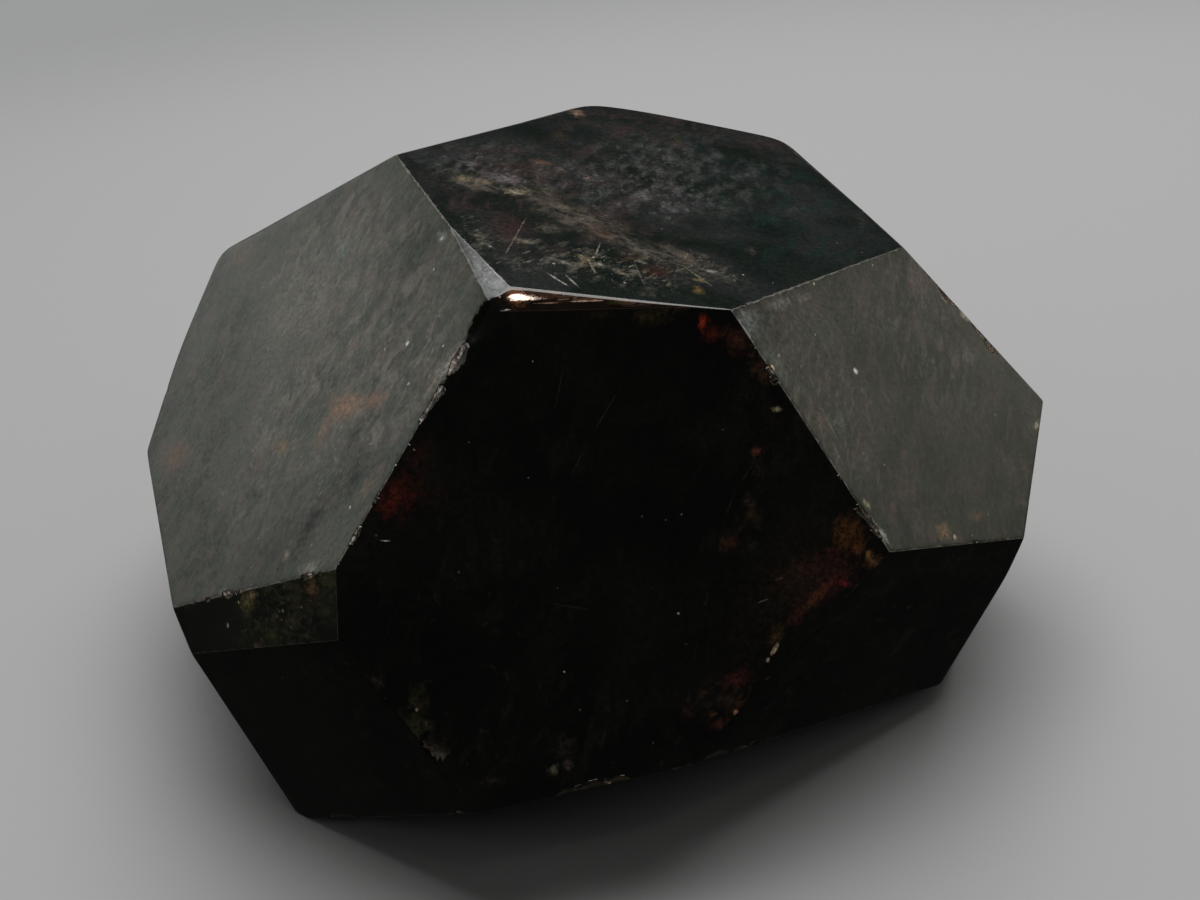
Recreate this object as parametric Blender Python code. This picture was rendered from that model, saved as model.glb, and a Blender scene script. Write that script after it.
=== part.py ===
"""A polished garnet crystal: one solid stone with a skin of flat faces.

The stone is a lopsided rhombic dodecahedron. A rough block is ground down face by
face, its edges are rounded, and small chips and one pit are broken out of it.
Run with: blender --background --python part.py
"""

import math

import bmesh
import bpy
from mathutils import Matrix, Vector

MM = 0.001

# Each flat face of the stone, as a lapidary would set it on the wheel:
# compass bearing of its outward normal in degrees (0 faces -Y, 90 faces +X),
# lift of the normal above the horizontal in degrees,
# distance of the face from the point under the middle of the stone, in mm.
FACES = {
    # the seven faces around the big front one
    "front": (8, 24, 26.4),
    "top": (88, 77, 28.9),
    "left_shoulder": (-67, 45, 27.4),
    "right_shoulder": (52, 34, 28.7),
    "left_band": (-48, 21, 28.6),
    "left_skirt": (-36, -4, 24.4),
    "right_skirt": (31, -10, 21.5),
    # underside
    "base": (0, -90, 0.0),
    "undercut": (9, -52, 9.0),
    # left and right ends
    "left_slope": (-139, 66, 32.1),
    "left_end": (-94, 12, 31.2),
    "left_heel": (-72, -15, 21.9),
    "right_slope": (96, 39, 30.5),
    "right_end": (71, -16, 22.9),
    "right_heel": (56, -21, 21.8),
    # back
    "back_slope": (148, 46, 35.0),
    "back": (176, 14, 27.3),
    "back_left": (-128, -14, 23.2),
    "back_right": (122, -8, 21.1),
    "back_left_heel": (-122, -48, 9.2),
    "back_heel": (178, -46, 9.6),
    "back_right_heel": (118, -50, 8.8),
}

# Narrow tapered bevels ground along a shared edge: the two faces, how much the
# bevel leans towards the second one (0 to 1), and its depth in mm at each end.
# The first end is the one nearer the front left corner of the top. A depth below
# zero lies above the edge, so the bevel runs out before it reaches that end.
BEVELS = {
    "ridge_bevel": ("top", "front", 0.72, 0.42, -0.10),
    "corner_bevel": ("left_shoulder", "top", 0.50, 0.32, -0.45),
}

# The faces that meet in crisp edges; every other long edge is worn rounder.
CRISP_FACES = ("front", "top", "left_shoulder", "right_shoulder", "left_band",
               "left_skirt", "right_skirt", "ridge_bevel", "corner_bevel", "base")
WORN_EDGE = 1.1 * MM
CRISP_SHARE = 0.2
SHORT_EDGE = 6.0 * MM
EDGE_SEGMENTS = 2

# Chips: the two faces whose edge is chipped, how far along that edge from its
# upper end, the scoop's radius and depth in mm, its stretch along the edge,
# and how far in from the edge it lies on the first face, in mm.
CHIPS = [
    ("front", "left_shoulder", 0.25, 1.40, 0.30, 1.4, 0.0),
    ("front", "left_shoulder", 0.40, 1.00, 0.14, 1.5, 0.0),
    ("front", "left_shoulder", 0.88, 1.00, 0.14, 1.4, 0.0),
    ("left_shoulder", "left_band", 0.15, 1.10, 0.13, 1.4, 0.0),
    ("left_shoulder", "left_band", 0.62, 1.30, 0.16, 1.6, 0.0),
    ("front", "right_shoulder", 0.24, 0.90, 0.13, 1.3, 0.0),
    ("front", "right_shoulder", 0.90, 1.20, 0.15, 1.6, 0.0),
    ("right_shoulder", "right_slope", 0.30, 1.20, 0.22, 1.3, 0.0),
    ("right_shoulder", "right_slope", 0.52, 1.00, 0.18, 1.2, 0.0),
    ("front", "undercut", 0.45, 1.40, 0.30, 1.8, 0.0),
    ("right_skirt", "undercut", 0.10, 1.20, 0.26, 1.6, 0.0),
    ("left_skirt", "undercut", 0.80, 1.10, 0.24, 1.4, 0.0),
    # the pit, a deeper round hollow beside the front face's lower left edge
    ("front", "left_skirt", 0.64, 1.25, 0.60, 1.2, 0.5),
]
CHIP_SMOOTHNESS = 2

ROUGH_BLOCK = 90.0 * MM
ON_PLANE = 0.0001 * MM


def clear_scene():
    for old in list(bpy.data.objects):
        bpy.data.objects.remove(old, do_unlink=True)


def face_normal(bearing, lift):
    a = math.radians(bearing)
    e = math.radians(lift)
    return Vector((math.sin(a) * math.cos(e), -math.cos(a) * math.cos(e), math.sin(e)))


def grind(bm, label, tag, point, normal):
    """Cut away everything beyond a plane, close the cut and tag the new face."""
    geom = bm.verts[:] + bm.edges[:] + bm.faces[:]
    bmesh.ops.bisect_plane(bm, geom=geom, dist=ON_PLANE, plane_co=point,
                           plane_no=normal, clear_outer=True)
    rim = [edge for edge in bm.edges if edge.is_boundary]
    made = bmesh.ops.contextual_create(bm, geom=rim)
    for face in made["faces"]:
        face[label] = tag


def shared_edge(bm, label, tag_a, tag_b):
    """The ends of the edge between two tagged faces, highest end first."""
    for edge in bm.edges:
        tags = sorted(face[label] for face in edge.link_faces)
        if tags == sorted((tag_a, tag_b)):
            ends = [vert.co.copy() for vert in edge.verts]
            return sorted(ends, key=lambda co: -co.z)
    raise ValueError("faces %d and %d share no edge" % (tag_a, tag_b))


def normal_of(bm, label, tag):
    for face in bm.faces:
        if face[label] == tag:
            face.normal_update()
            return face.normal.copy()
    raise ValueError("no face %d" % tag)


def grind_bevel(bm, label, tags, name):
    """Grind a bevel along an edge, deeper at its front left end."""
    first, second, lean, depth_start, depth_end = BEVELS[name]
    ends = shared_edge(bm, label, tags[first], tags[second])
    corner = shared_edge(bm, label, tags["front"], tags["left_shoulder"])[0]
    ends.sort(key=lambda co: (co - corner).length)
    blend = normal_of(bm, label, tags[first]).lerp(normal_of(bm, label, tags[second]), lean)
    blend.normalize()
    start = ends[0] - blend * depth_start * MM
    end = ends[1] - blend * depth_end * MM
    along = (end - start).normalized()
    normal = (blend - along * blend.dot(along)).normalized()
    grind(bm, label, tags[name], start, normal)


def chip_frames(bm, label, tags):
    """Where each chip sits: centre of its scoop, its size and the edge's direction."""
    frames = []
    for first, second, share, radius, depth, stretch, inset in CHIPS:
        upper, lower = shared_edge(bm, label, tags[first], tags[second])
        out_a = normal_of(bm, label, tags[first])
        out_b = normal_of(bm, label, tags[second])
        along = (lower - upper).normalized()
        inward = along.cross(out_a)
        if inward.dot(out_b) > 0:
            inward.negate()
        outward = out_a if inset else (out_a + out_b).normalized()
        spot = upper.lerp(lower, share) + inward * inset * MM
        centre = spot + outward * (radius - depth) * MM
        frames.append((centre, radius * MM, stretch, along, outward))
    return frames


def grind_stone():
    """The faceted stone, before its edges are worn."""
    bm = bmesh.new()
    bmesh.ops.create_cube(bm, size=ROUGH_BLOCK)
    label = bm.faces.layers.int.new("facet")
    tags = {name: index + 1 for index, name in enumerate([*FACES, *BEVELS])}
    for name, (bearing, lift, distance) in FACES.items():
        normal = face_normal(bearing, lift)
        grind(bm, label, tags[name], normal * distance * MM, normal)
    frames = chip_frames(bm, label, tags)
    for name in BEVELS:
        grind_bevel(bm, label, tags, name)
    bmesh.ops.recalc_face_normals(bm, faces=bm.faces[:])
    return bm, label, tags, frames


def weigh_edges(bm, label, tags):
    """Crisp edges take a small share of the worn edge's width."""
    weight = bm.edges.layers.float.new("bevel_weight_edge")
    crisp = {tags[name] for name in CRISP_FACES}
    for edge in bm.edges:
        touches = any(face[label] in crisp for face in edge.link_faces)
        worn = not touches and edge.calc_length() > SHORT_EDGE
        edge[weight] = 1.0 if worn else CRISP_SHARE


def centre_on_base(bm, frames):
    """Move the stone so its origin is under the middle of its box, on the base."""
    low = [min(vert.co[axis] for vert in bm.verts) for axis in range(3)]
    high = [max(vert.co[axis] for vert in bm.verts) for axis in range(3)]
    shift = Vector(((low[0] + high[0]) / 2, (low[1] + high[1]) / 2, low[2]))
    bmesh.ops.translate(bm, verts=bm.verts[:], vec=-shift)
    return [(centre - shift, *rest) for centre, *rest in frames]


def chip_cutters(frames):
    """One mesh of stretched balls, each biting a shallow scoop out of the stone."""
    bm = bmesh.new()
    for centre, radius, stretch, along, outward in frames:
        side = outward.cross(along).normalized()
        turn = Matrix((along, side, along.cross(side))).transposed().to_4x4()
        size = Matrix.Diagonal((radius * stretch, radius, radius, 1.0))
        place = Matrix.Translation(centre) @ turn @ size
        bmesh.ops.create_icosphere(bm, subdivisions=CHIP_SMOOTHNESS, radius=1.0,
                                   matrix=place)
    mesh = bpy.data.meshes.new("chip_cutters")
    bm.to_mesh(mesh)
    bm.free()
    cutters = bpy.data.objects.new("chip_cutters", mesh)
    cutters.hide_render = True
    cutters.display_type = "WIRE"
    bpy.context.collection.objects.link(cutters)
    return cutters


def garnet_material():
    material = bpy.data.materials.new("garnet")
    material.use_nodes = True
    shader = material.node_tree.nodes["Principled BSDF"]
    shader.inputs["Base Color"].default_value = (0.016, 0.008, 0.008, 1.0)
    shader.inputs["Metallic"].default_value = 0.0
    shader.inputs["Roughness"].default_value = 0.22
    shader.inputs["IOR"].default_value = 1.79
    return material


def make_crystal():
    bm, label, tags, frames = grind_stone()
    weigh_edges(bm, label, tags)
    frames = centre_on_base(bm, frames)
    mesh = bpy.data.meshes.new("garnet_crystal")
    bm.to_mesh(mesh)
    bm.free()
    crystal = bpy.data.objects.new("garnet_crystal", mesh)
    crystal.data.materials.append(garnet_material())
    bpy.context.collection.objects.link(crystal)

    worn = crystal.modifiers.new("worn_edges", "BEVEL")
    worn.limit_method = "WEIGHT"
    worn.width = WORN_EDGE
    worn.segments = EDGE_SEGMENTS
    worn.use_clamp_overlap = True

    chips = crystal.modifiers.new("chips", "BOOLEAN")
    chips.operation = "DIFFERENCE"
    chips.solver = "EXACT"
    chips.object = chip_cutters(frames)
    return crystal


def main():
    clear_scene()
    make_crystal()


main()
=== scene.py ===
import math

import bpy
import numpy as np
from mathutils import Matrix


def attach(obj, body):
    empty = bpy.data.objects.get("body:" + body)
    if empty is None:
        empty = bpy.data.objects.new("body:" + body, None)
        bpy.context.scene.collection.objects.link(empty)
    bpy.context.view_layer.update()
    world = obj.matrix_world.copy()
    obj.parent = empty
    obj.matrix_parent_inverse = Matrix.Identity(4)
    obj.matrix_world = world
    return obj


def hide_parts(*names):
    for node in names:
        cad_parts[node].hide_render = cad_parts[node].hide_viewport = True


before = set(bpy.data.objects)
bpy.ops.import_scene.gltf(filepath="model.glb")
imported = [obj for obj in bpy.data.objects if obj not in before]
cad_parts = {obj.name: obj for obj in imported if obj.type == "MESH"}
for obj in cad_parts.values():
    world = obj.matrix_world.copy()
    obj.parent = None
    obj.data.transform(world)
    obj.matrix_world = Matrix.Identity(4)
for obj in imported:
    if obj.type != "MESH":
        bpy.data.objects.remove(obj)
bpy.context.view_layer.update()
mm = 0.001

stone = {
    # every ground face: compass bearing of its normal (0 faces -Y, 90 faces +X),
    # lift of the normal above level, both in degrees, and distance from the
    # point under the stone's middle, in mm
    "faces": {
        "front": (8, 24, 26.4),
        "top": (88, 77, 28.9),
        "leftShoulder": (-67, 45, 27.4),
        "rightShoulder": (52, 34, 28.7),
        "leftBand": (-48, 21, 28.6),
        "leftSkirt": (-36, -4, 24.4),
        "rightSkirt": (31, -10, 21.5),
        "base": (0, -90, 0.0),
        "undercut": (9, -52, 9.0),
        "leftSlope": (-139, 66, 32.1),
        "leftEnd": (-94, 12, 31.2),
        "leftHeel": (-72, -15, 21.9),
        "rightSlope": (96, 39, 30.5),
        "rightEnd": (71, -16, 22.9),
        "rightHeel": (56, -21, 21.8),
        "backSlope": (148, 46, 35.0),
        "back": (176, 14, 27.3),
        "backLeft": (-128, -14, 23.2),
        "backRight": (122, -8, 21.1),
        "backLeftHeel": (-122, -48, 9.2),
        "backHeel": (178, -46, 9.6),
        "backRightHeel": (118, -50, 8.8),
    },
    # thin bevels: the two faces, lean towards the second, depth at each end in mm
    "bevels": {
        "ridgeBevel": ("top", "front", 0.72, 0.30, -0.05),
        "cornerBevel": ("leftShoulder", "top", 0.50, 0.32, -0.45),
    },
    "leastCorner": 1e-4,      # planes whose normals span less than this make no corner
    "slack": 1e-6,            # mm, rounding allowed at a corner
    "skin": 0.02,             # mm, the finished surface lies this far inside the cut faces
    "crispEdge": 0.045,       # mm, how far a sharp edge is rubbed down
    "wornEdge": 0.30,         # mm, the same on the worn far side
    "wornFrom": (2.0, 14.0),  # mm along y, where sharp turns into worn
    "rubRange": (0.8, 1.0),   # shares of a ray between which the rubbed skin is looked for
    "rubHalvings": 26,
    "nearRings": (0.035, 1.24),  # first gap between rings of points in mm, and its growth
    "farRings": (0.10, 1.45),
    "rimReach": 5.0,          # mm, the farthest from an edge that the finishes count
    "fineStep": 0.22,         # mm between points along the near edges
    "coarseStep": 0.60,       # mm along the far edges
    "middle": (0.0, 0.0, 14.0),
    # main chips: two faces, share along their edge from its upper end, radius, depth,
    # stretch along the edge, inset onto the first face, flakes broken out around it
    "chips": [
        ("front", "leftShoulder", 0.25, 1.10, 0.26, 1.4, 0.0, 9),
        ("front", "leftShoulder", 0.40, 1.00, 0.14, 1.5, 0.0, 4),
        ("front", "leftShoulder", 0.88, 1.00, 0.14, 1.4, 0.0, 4),
        ("leftShoulder", "leftBand", 0.15, 0.65, 0.10, 1.4, 0.0, 3),
        ("leftShoulder", "leftBand", 0.62, 0.80, 0.12, 1.6, 0.0, 5),
        ("front", "rightShoulder", 0.24, 0.60, 0.10, 1.3, 0.0, 3),
        ("front", "rightShoulder", 0.90, 0.80, 0.12, 1.8, 0.0, 4),
        ("rightShoulder", "rightSlope", 0.30, 1.20, 0.22, 1.3, 0.0, 4),
        ("rightShoulder", "rightSlope", 0.52, 1.00, 0.18, 1.2, 0.0, 3),
        ("front", "undercut", 0.45, 1.40, 0.30, 1.8, 0.0, 4),
        ("rightSkirt", "undercut", 0.10, 1.20, 0.26, 1.6, 0.0, 4),
        ("leftSkirt", "undercut", 0.80, 1.10, 0.24, 1.4, 0.0, 4),
        ("front", "leftSkirt", 0.64, 0.70, 0.34, 1.3, 0.4, 3),
    ],
    # shallow glassy breaks: two faces, share along their edge, radius, depth, stretch,
    # lean of the break from the first face (0) to the second (1)
    "glassBreaks": [
        ("front", "leftShoulder", 0.10, 20.0, 0.38, 0.45, 0.42),
    ],
    # edges nibbled all along: two faces, nibbles per mm, largest radius in mm
    "nibbles": [
        ("front", "leftShoulder", 1.6, 0.34),
        ("front", "rightShoulder", 1.3, 0.26),
        ("leftShoulder", "leftBand", 1.1, 0.30),
        ("rightShoulder", "rightSkirt", 0.9, 0.24),
        ("top", "rightShoulder", 0.8, 0.22),
        ("front", "leftSkirt", 0.8, 0.24),
        ("front", "rightSkirt", 0.7, 0.22),
        ("front", "undercut", 0.9, 0.34),
        ("leftSkirt", "undercut", 0.9, 0.34),
        ("rightSkirt", "undercut", 0.9, 0.34),
        ("rightShoulder", "rightSlope", 0.6, 0.40),
        ("leftShoulder", "leftEnd", 0.5, 0.40),
        ("leftEnd", "leftHeel", 0.5, 0.40),
        ("rightEnd", "rightHeel", 0.5, 0.35),
        ("backSlope", "back", 0.4, 0.45),
        ("leftShoulder", "leftSlope", 0.4, 0.40),
    ],
    # how flakes and nibbles scatter: slide and inset in scoop radii, tilt of the normal,
    # and the ranges for radius and depth (in shares of their chip's) and for the stretch
    "flake": {"slide": 0.45, "inset": 0.12, "tilt": 0.22, "radius": (0.35, 0.8),
              "depth": (0.35, 0.85), "stretch": (0.8, 1.6)},
    "nibble": {"along": (0.02, 0.98), "tilt": 0.30, "radius": (0.25, 1.0), "fewLarge": 1.5,
               "depth": (0.10, 0.28), "stretch": (0.9, 2.2)},
    "glassy": 0.5,            # how a glassy break is marked, where a crumbly one is 1
    "chipSeed": 7,
}


def faceNormals(bearings, lifts):
    # n = (sin b cos l, -cos b cos l, sin l) for bearing b and lift l
    b = np.radians(bearings)
    l = np.radians(lifts)
    return np.stack([np.sin(b) * np.cos(l), -np.cos(b) * np.cos(l), np.sin(l)], axis=1)


def cornersOf(normals, distances):
    # a corner is the point where three planes meet, kept where no other plane cuts it off
    count = len(distances)
    every = np.array(np.meshgrid(*[np.arange(count)] * 3, indexing="ij")).reshape(3, -1).T
    threes = every[(every[:, 0] < every[:, 1]) & (every[:, 1] < every[:, 2])]
    threes = threes[np.abs(np.linalg.det(normals[threes])) > stone["leastCorner"]]
    points = np.linalg.solve(normals[threes], distances[threes][..., None])[..., 0]
    kept = (points @ normals.T < distances + stone["slack"]).all(axis=1)
    return points[kept], threes[kept]


def edgeEnds(corners, threes, first, second):
    # the two corners that both faces share, highest first
    shared = (threes == first).any(axis=1) & (threes == second).any(axis=1)
    ends = corners[shared]
    return ends[np.argsort(-ends[:, 2])]


def unit(v):
    # each vector over its own length
    return v / np.linalg.norm(v, axis=-1, keepdims=True)


def bevelPlane(normals, names, corners, threes, first, second, lean, startDepth, endDepth):
    # a plane along the edge, its normal (1 - lean) * n1 + lean * n2 made square to
    # the line between the two ends, each end sunk by its own depth. It starts at the end
    # nearer the nose, where the front and the left shoulder meet highest
    a, b = names.index(first), names.index(second)
    ends = edgeEnds(corners, threes, a, b)
    nose = edgeEnds(corners, threes, names.index("front"), names.index("leftShoulder"))[0]
    ends = ends[np.argsort(np.linalg.norm(ends - nose, axis=1))]
    between = unit((1 - lean) * normals[a] + lean * normals[b])
    start = ends[0] - between * startDepth
    along = unit(ends[1] - between * endDepth - start)
    normal = unit(between - along * (between @ along))
    return normal, normal @ start


def cutStone():
    # all planes of the stone, moved so that its box is centred and stands on level 0, then
    # sunk by the skin, all but the base, with the corners before and after the bevels
    names = list(stone["faces"])
    table = np.array([stone["faces"][name] for name in names], float)
    normals = faceNormals(table[:, 0], table[:, 1])
    distances = table[:, 2]
    corners, threes = cornersOf(normals, distances)
    bevels = [bevelPlane(normals, names, corners, threes, *row)
              for row in stone["bevels"].values()]
    shift = (corners.min(axis=0) + corners.max(axis=0)) / 2
    shift[2] = corners[:, 2].min()
    rough = {"corners": corners - shift, "threes": threes}
    names = names + list(stone["bevels"])
    normals = np.vstack([normals] + [n for n, d in bevels])
    distances = np.append(distances, [d for n, d in bevels]) - normals @ shift
    distances = distances - stone["skin"] * np.array([name != "base" for name in names])
    corners, threes = cornersOf(normals, distances)
    return {"names": names, "normals": normals, "distances": distances,
            "corners": corners, "threes": threes, "rough": rough}


def edgePoints(start, end):
    # evenly spaced points from start towards end, closer together on the near side:
    # p(t) = start + t (end - start)
    depth = (start[1] + end[1]) / 2
    step = np.interp(depth, stone["wornFrom"], (stone["fineStep"], stone["coarseStep"]))
    count = max(2, int(np.ceil(np.linalg.norm(end - start) / step)))
    t = np.linspace(0, 1, count + 1)[:, None]
    return start + t * (end - start)


def rimOf(cut, face):
    # the outline of one face as a closed run of points, anticlockwise from outside
    own = np.flatnonzero((cut["threes"] == face).any(axis=1))
    corners = cut["corners"][own]
    middle = corners.mean(axis=0)
    normal = cut["normals"][face]
    across = unit(corners[0] - middle)
    up = np.cross(normal, across)
    turn = np.arctan2((corners - middle) @ up, (corners - middle) @ across)
    own = own[np.argsort(turn)]
    runs = []
    for a, b in zip(own, np.roll(own, -1)):
        low, high = min(a, b), max(a, b)   # both neighbours walk an edge the same way
        run = edgePoints(cut["corners"][low], cut["corners"][high])
        runs.append(run[:-1] if a < b else run[::-1][:-1])
    return np.concatenate(runs)


def ringDepths(reach, near):
    # distances of the rings from the outline, each gap longer than the last:
    # d(k) = first * (growth^k - 1) / (growth - 1)
    first, growth = stone["nearRings"] if near else stone["farRings"]
    count = int(np.log(reach * (growth - 1) / first + 1) / np.log(growth))
    k = np.arange(max(count, 3))
    return first * (growth ** k - 1) / (growth - 1)


def facePatch(cut, face):
    # point(u, v) = middle + (1 - depth(v) / reach) * (outline(u) - middle)
    rim = rimOf(cut, face)
    middle = rim.mean(axis=0)
    ahead = np.roll(rim, -1, axis=0) - rim
    sideways = np.cross(cut["normals"][face], unit(ahead))
    reach = np.einsum("ij,ij->i", middle - rim, sideways).mean()
    near = middle[1] < stone["wornFrom"][1]
    shares = 1 - ringDepths(reach, near) / reach
    grid = middle + shares[:, None, None] * (rim - middle)
    grid[0] = rim
    rings, around = grid.shape[:2]
    index = np.arange(rings * around).reshape(rings, around)
    outer, inner = index[:-1], index[1:]
    quads = np.stack([outer, np.roll(outer, -1, 1), np.roll(inner, -1, 1), inner], axis=-1)
    last = index[-1]
    fan = np.stack([last, np.roll(last, -1), np.full(around, rings * around)], axis=-1)
    return np.vstack([grid.reshape(-1, 3), middle]), quads.reshape(-1, 4), fan


def levelOf(points, cut, radius):
    # soft maximum of the heights h above all planes: radius * ln(sum(exp(h / radius)))
    heights = points @ cut["normals"].T - cut["distances"]
    top = heights.max(axis=1)
    spread = np.exp((heights - top[:, None]) / radius[:, None]).sum(axis=1)
    return top + radius * np.log(spread)


def rubEdges(points, cut):
    # each point slides along its ray from the middle until the soft maximum is zero
    middle = np.array(stone["middle"])
    rays = points - middle
    share = np.clip((points[:, 1] - stone["wornFrom"][0])
                    / (stone["wornFrom"][1] - stone["wornFrom"][0]), 0, 1)
    radius = stone["crispEdge"] + (stone["wornEdge"] - stone["crispEdge"]) * share
    low, high = [np.full(len(points), limit) for limit in stone["rubRange"]]
    for _ in range(stone["rubHalvings"]):
        half = (low + high) / 2
        outside = levelOf(middle + half[:, None] * rays, cut, radius) > 0
        high = np.where(outside, half, high)
        low = np.where(outside, low, half)
    return middle + high[:, None] * rays


def edgeFrame(cut, first, second):
    # an edge from its upper end to its lower one, its direction, the normals n1 and n2 of
    # its faces, the direction n1 + n2 out of it and the way in on the first face, which
    # is the edge crossed with n1
    names, normals, rough = cut["names"], cut["normals"], cut["rough"]
    a, b = names.index(first), names.index(second)
    upper, lower = edgeEnds(rough["corners"], rough["threes"], a, b)
    along = unit(lower - upper)
    inward = np.cross(along, normals[a])
    inward = inward * -np.sign(inward @ normals[b])
    return {"start": upper, "run": lower - upper, "along": along, "first": normals[a],
            "second": normals[b], "out": unit(normals[a] + normals[b]), "inward": inward}


def scoop(spot, out, along, radius, depth, stretch, kind=1.0):
    # a ball stretched along the edge, its centre at spot + out * (radius - depth), so that
    # it bites depth deep at spot
    side = unit(np.cross(out, along))
    axes = np.stack([np.cross(side, out), side, out])
    return spot + out * (radius - depth), axes, radius * np.array([stretch, 1, 1]), kind


def flakeScoops(edge, spot, out, radius, depth, stretch, count, draw):
    # smaller, tilted scoops around spot, each at spot + along * slide + inward * inset
    flake = stone["flake"]
    scoops = []
    for _ in range(count):
        slide = draw.normal(0, flake["slide"] * radius * stretch)
        lean = unit(out + draw.normal(0, flake["tilt"], 3))
        small = radius * draw.uniform(*flake["radius"])
        sunk = depth * draw.uniform(*flake["depth"])
        across = edge["inward"] * draw.normal(0, flake["inset"] * radius)
        scoops.append(scoop(spot + edge["along"] * slide + across, lean, edge["along"], small,
                            sunk, draw.uniform(*flake["stretch"])))
    return scoops


def nibbleScoops(edge, density, largest, draw):
    # small scoops all along an edge, mostly tiny: radius = largest * share^fewLarge
    nibble = stone["nibble"]
    scoops = []
    count = int(np.linalg.norm(edge["run"]) * density)
    for share in draw.uniform(*nibble["along"], count):
        small = largest * draw.uniform(*nibble["radius"]) ** nibble["fewLarge"]
        lean = unit(edge["out"] + draw.normal(0, nibble["tilt"], 3))
        scoops.append(scoop(edge["start"] + share * edge["run"], lean, edge["along"], small,
                            small * draw.uniform(*nibble["depth"]),
                            draw.uniform(*nibble["stretch"])))
    return scoops


def chipScoops(cut):
    # glassy breaks first, then every chip with its flakes, then the nibbled edges.
    # A break or chip sits at start + share * run of its edge
    draw = np.random.default_rng(stone["chipSeed"])
    scoops = []
    for first, second, share, radius, depth, stretch, lean in stone["glassBreaks"]:
        edge = edgeFrame(cut, first, second)
        out = unit((1 - lean) * edge["first"] + lean * edge["second"])
        scoops.append(scoop(edge["start"] + share * edge["run"], out, edge["along"], radius,
                            depth, stretch, stone["glassy"]))
    for first, second, share, radius, depth, stretch, inset, flakes in stone["chips"]:
        edge = edgeFrame(cut, first, second)
        out = edge["first"] if inset else edge["out"]
        spot = edge["start"] + share * edge["run"] + edge["inward"] * inset
        scoops.append(scoop(spot, out, edge["along"], radius, depth, stretch))
        scoops += flakeScoops(edge, spot, out, radius, depth, stretch, flakes, draw)
    for first, second, density, largest in stone["nibbles"]:
        scoops += nibbleScoops(edgeFrame(cut, first, second), density, largest, draw)
    return scoops


def breakChips(points, scoops):
    # where a ray enters a chip's ball before it reaches the skin, the skin stops there:
    # |(middle + t ray - centre) / size| = 1
    middle = np.array(stone["middle"])
    rays = points - middle
    reach = np.ones(len(points))
    broken = np.zeros(len(points))
    for centre, axes, size, kind in scoops:
        start = (axes @ (middle - centre)) / size
        step = (rays @ axes.T) / size
        a = (step ** 2).sum(axis=1)
        b = step @ start
        gap = b ** 2 - a * (start @ start - 1)
        root = np.sqrt(np.maximum(gap, 0))
        enter, leave = (-b - root) / a, (-b + root) / a
        hit = (gap > 0) & (enter < reach) & (leave > reach)
        reach = np.where(hit, enter, reach)
        broken = np.where(hit, kind, broken)
    return middle + reach[:, None] * rays, broken


def rimDistance(points, cut):
    # on a face, the next plane lies h below, so its edge is h / sin(angle between) away
    heights = points @ cut["normals"].T - cut["distances"]
    order = np.argsort(-heights, axis=1)
    own, rest = order[:, :1], order[:, 1:]
    drop = np.take_along_axis(heights, own, 1) - np.take_along_axis(heights, rest, 1)
    cosine = np.einsum("nd,nkd->nk", cut["normals"][own[:, 0]], cut["normals"][rest])
    return (drop / np.sqrt(1 - cosine ** 2)).min(axis=1)


def joinPatches(cut):
    # all face patches as one skin: points that two patches share become one point, and
    # every quad and triangle remembers its face
    points, quads, fans, quadFace, fanFace = [], [], [], [], []
    offset = 0
    for face in range(len(cut["names"])):
        own, ownQuads, ownFan = facePatch(cut, face)
        points.append(own)
        quads.append(ownQuads + offset)
        fans.append(ownFan + offset)
        quadFace.append(np.full(len(ownQuads), face))
        fanFace.append(np.full(len(ownFan), face))
        offset += len(own)
    points, weld = np.unique(np.concatenate(points), axis=0, return_inverse=True)
    weld = weld.reshape(-1)
    faceOf = np.concatenate(quadFace + fanFace)
    return points, weld[np.concatenate(quads)], weld[np.concatenate(fans)], faceOf


def makeCrystal(cut, looks):
    # flat skin, then rubbed edges, then chips. Quads come first in the mesh, so face k
    # starts at the sum of the sizes before it
    flat, quads, fans, faceOf = joinPatches(cut)
    rim = np.minimum(rimDistance(flat, cut), stone["rimReach"])
    points, broken = breakChips(rubEdges(flat, cut), chipScoops(cut))
    corners = np.concatenate([quads.reshape(-1), fans.reshape(-1)])
    sizes = np.concatenate([np.full(len(quads), 4), np.full(len(fans), 3)])
    starts = np.concatenate([[0], np.cumsum(sizes)[:-1]])

    mesh = bpy.data.meshes.new("garnetCrystal")
    mesh.vertices.add(len(points))
    mesh.vertices.foreach_set("co", (points * mm).astype(np.float32).reshape(-1))
    mesh.loops.add(len(corners))
    mesh.loops.foreach_set("vertex_index", corners.astype(np.int32))
    mesh.polygons.add(len(sizes))
    mesh.polygons.foreach_set("loop_start", starts.astype(np.int32))
    mesh.polygons.foreach_set("loop_total", sizes.astype(np.int32))
    mesh.update(calc_edges=True)
    for name, values in (("rim", rim), ("broken", broken)):
        layer = mesh.attributes.new(name, "FLOAT", "POINT")
        layer.data.foreach_set("value", values.astype(np.float32))

    crystal = bpy.data.objects.new("garnetCrystal", mesh)
    bpy.context.scene.collection.objects.link(crystal)
    finishes = list(dict.fromkeys(looks.values()))
    for material in finishes:
        mesh.materials.append(material)
    ownFinish = np.array([finishes.index(looks.get(name, looks["other"]))
                          for name in cut["names"]])
    mesh.polygons.foreach_set("material_index", ownFinish[faceOf].astype(np.int32))
    mesh.polygons.foreach_set("use_smooth", np.ones(len(sizes), bool))
    mesh.validate()
    mesh.update()
    print("crystal ready:", len(points), "points,", 2 * len(quads) + len(fans), "triangles")
    return crystal


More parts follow.
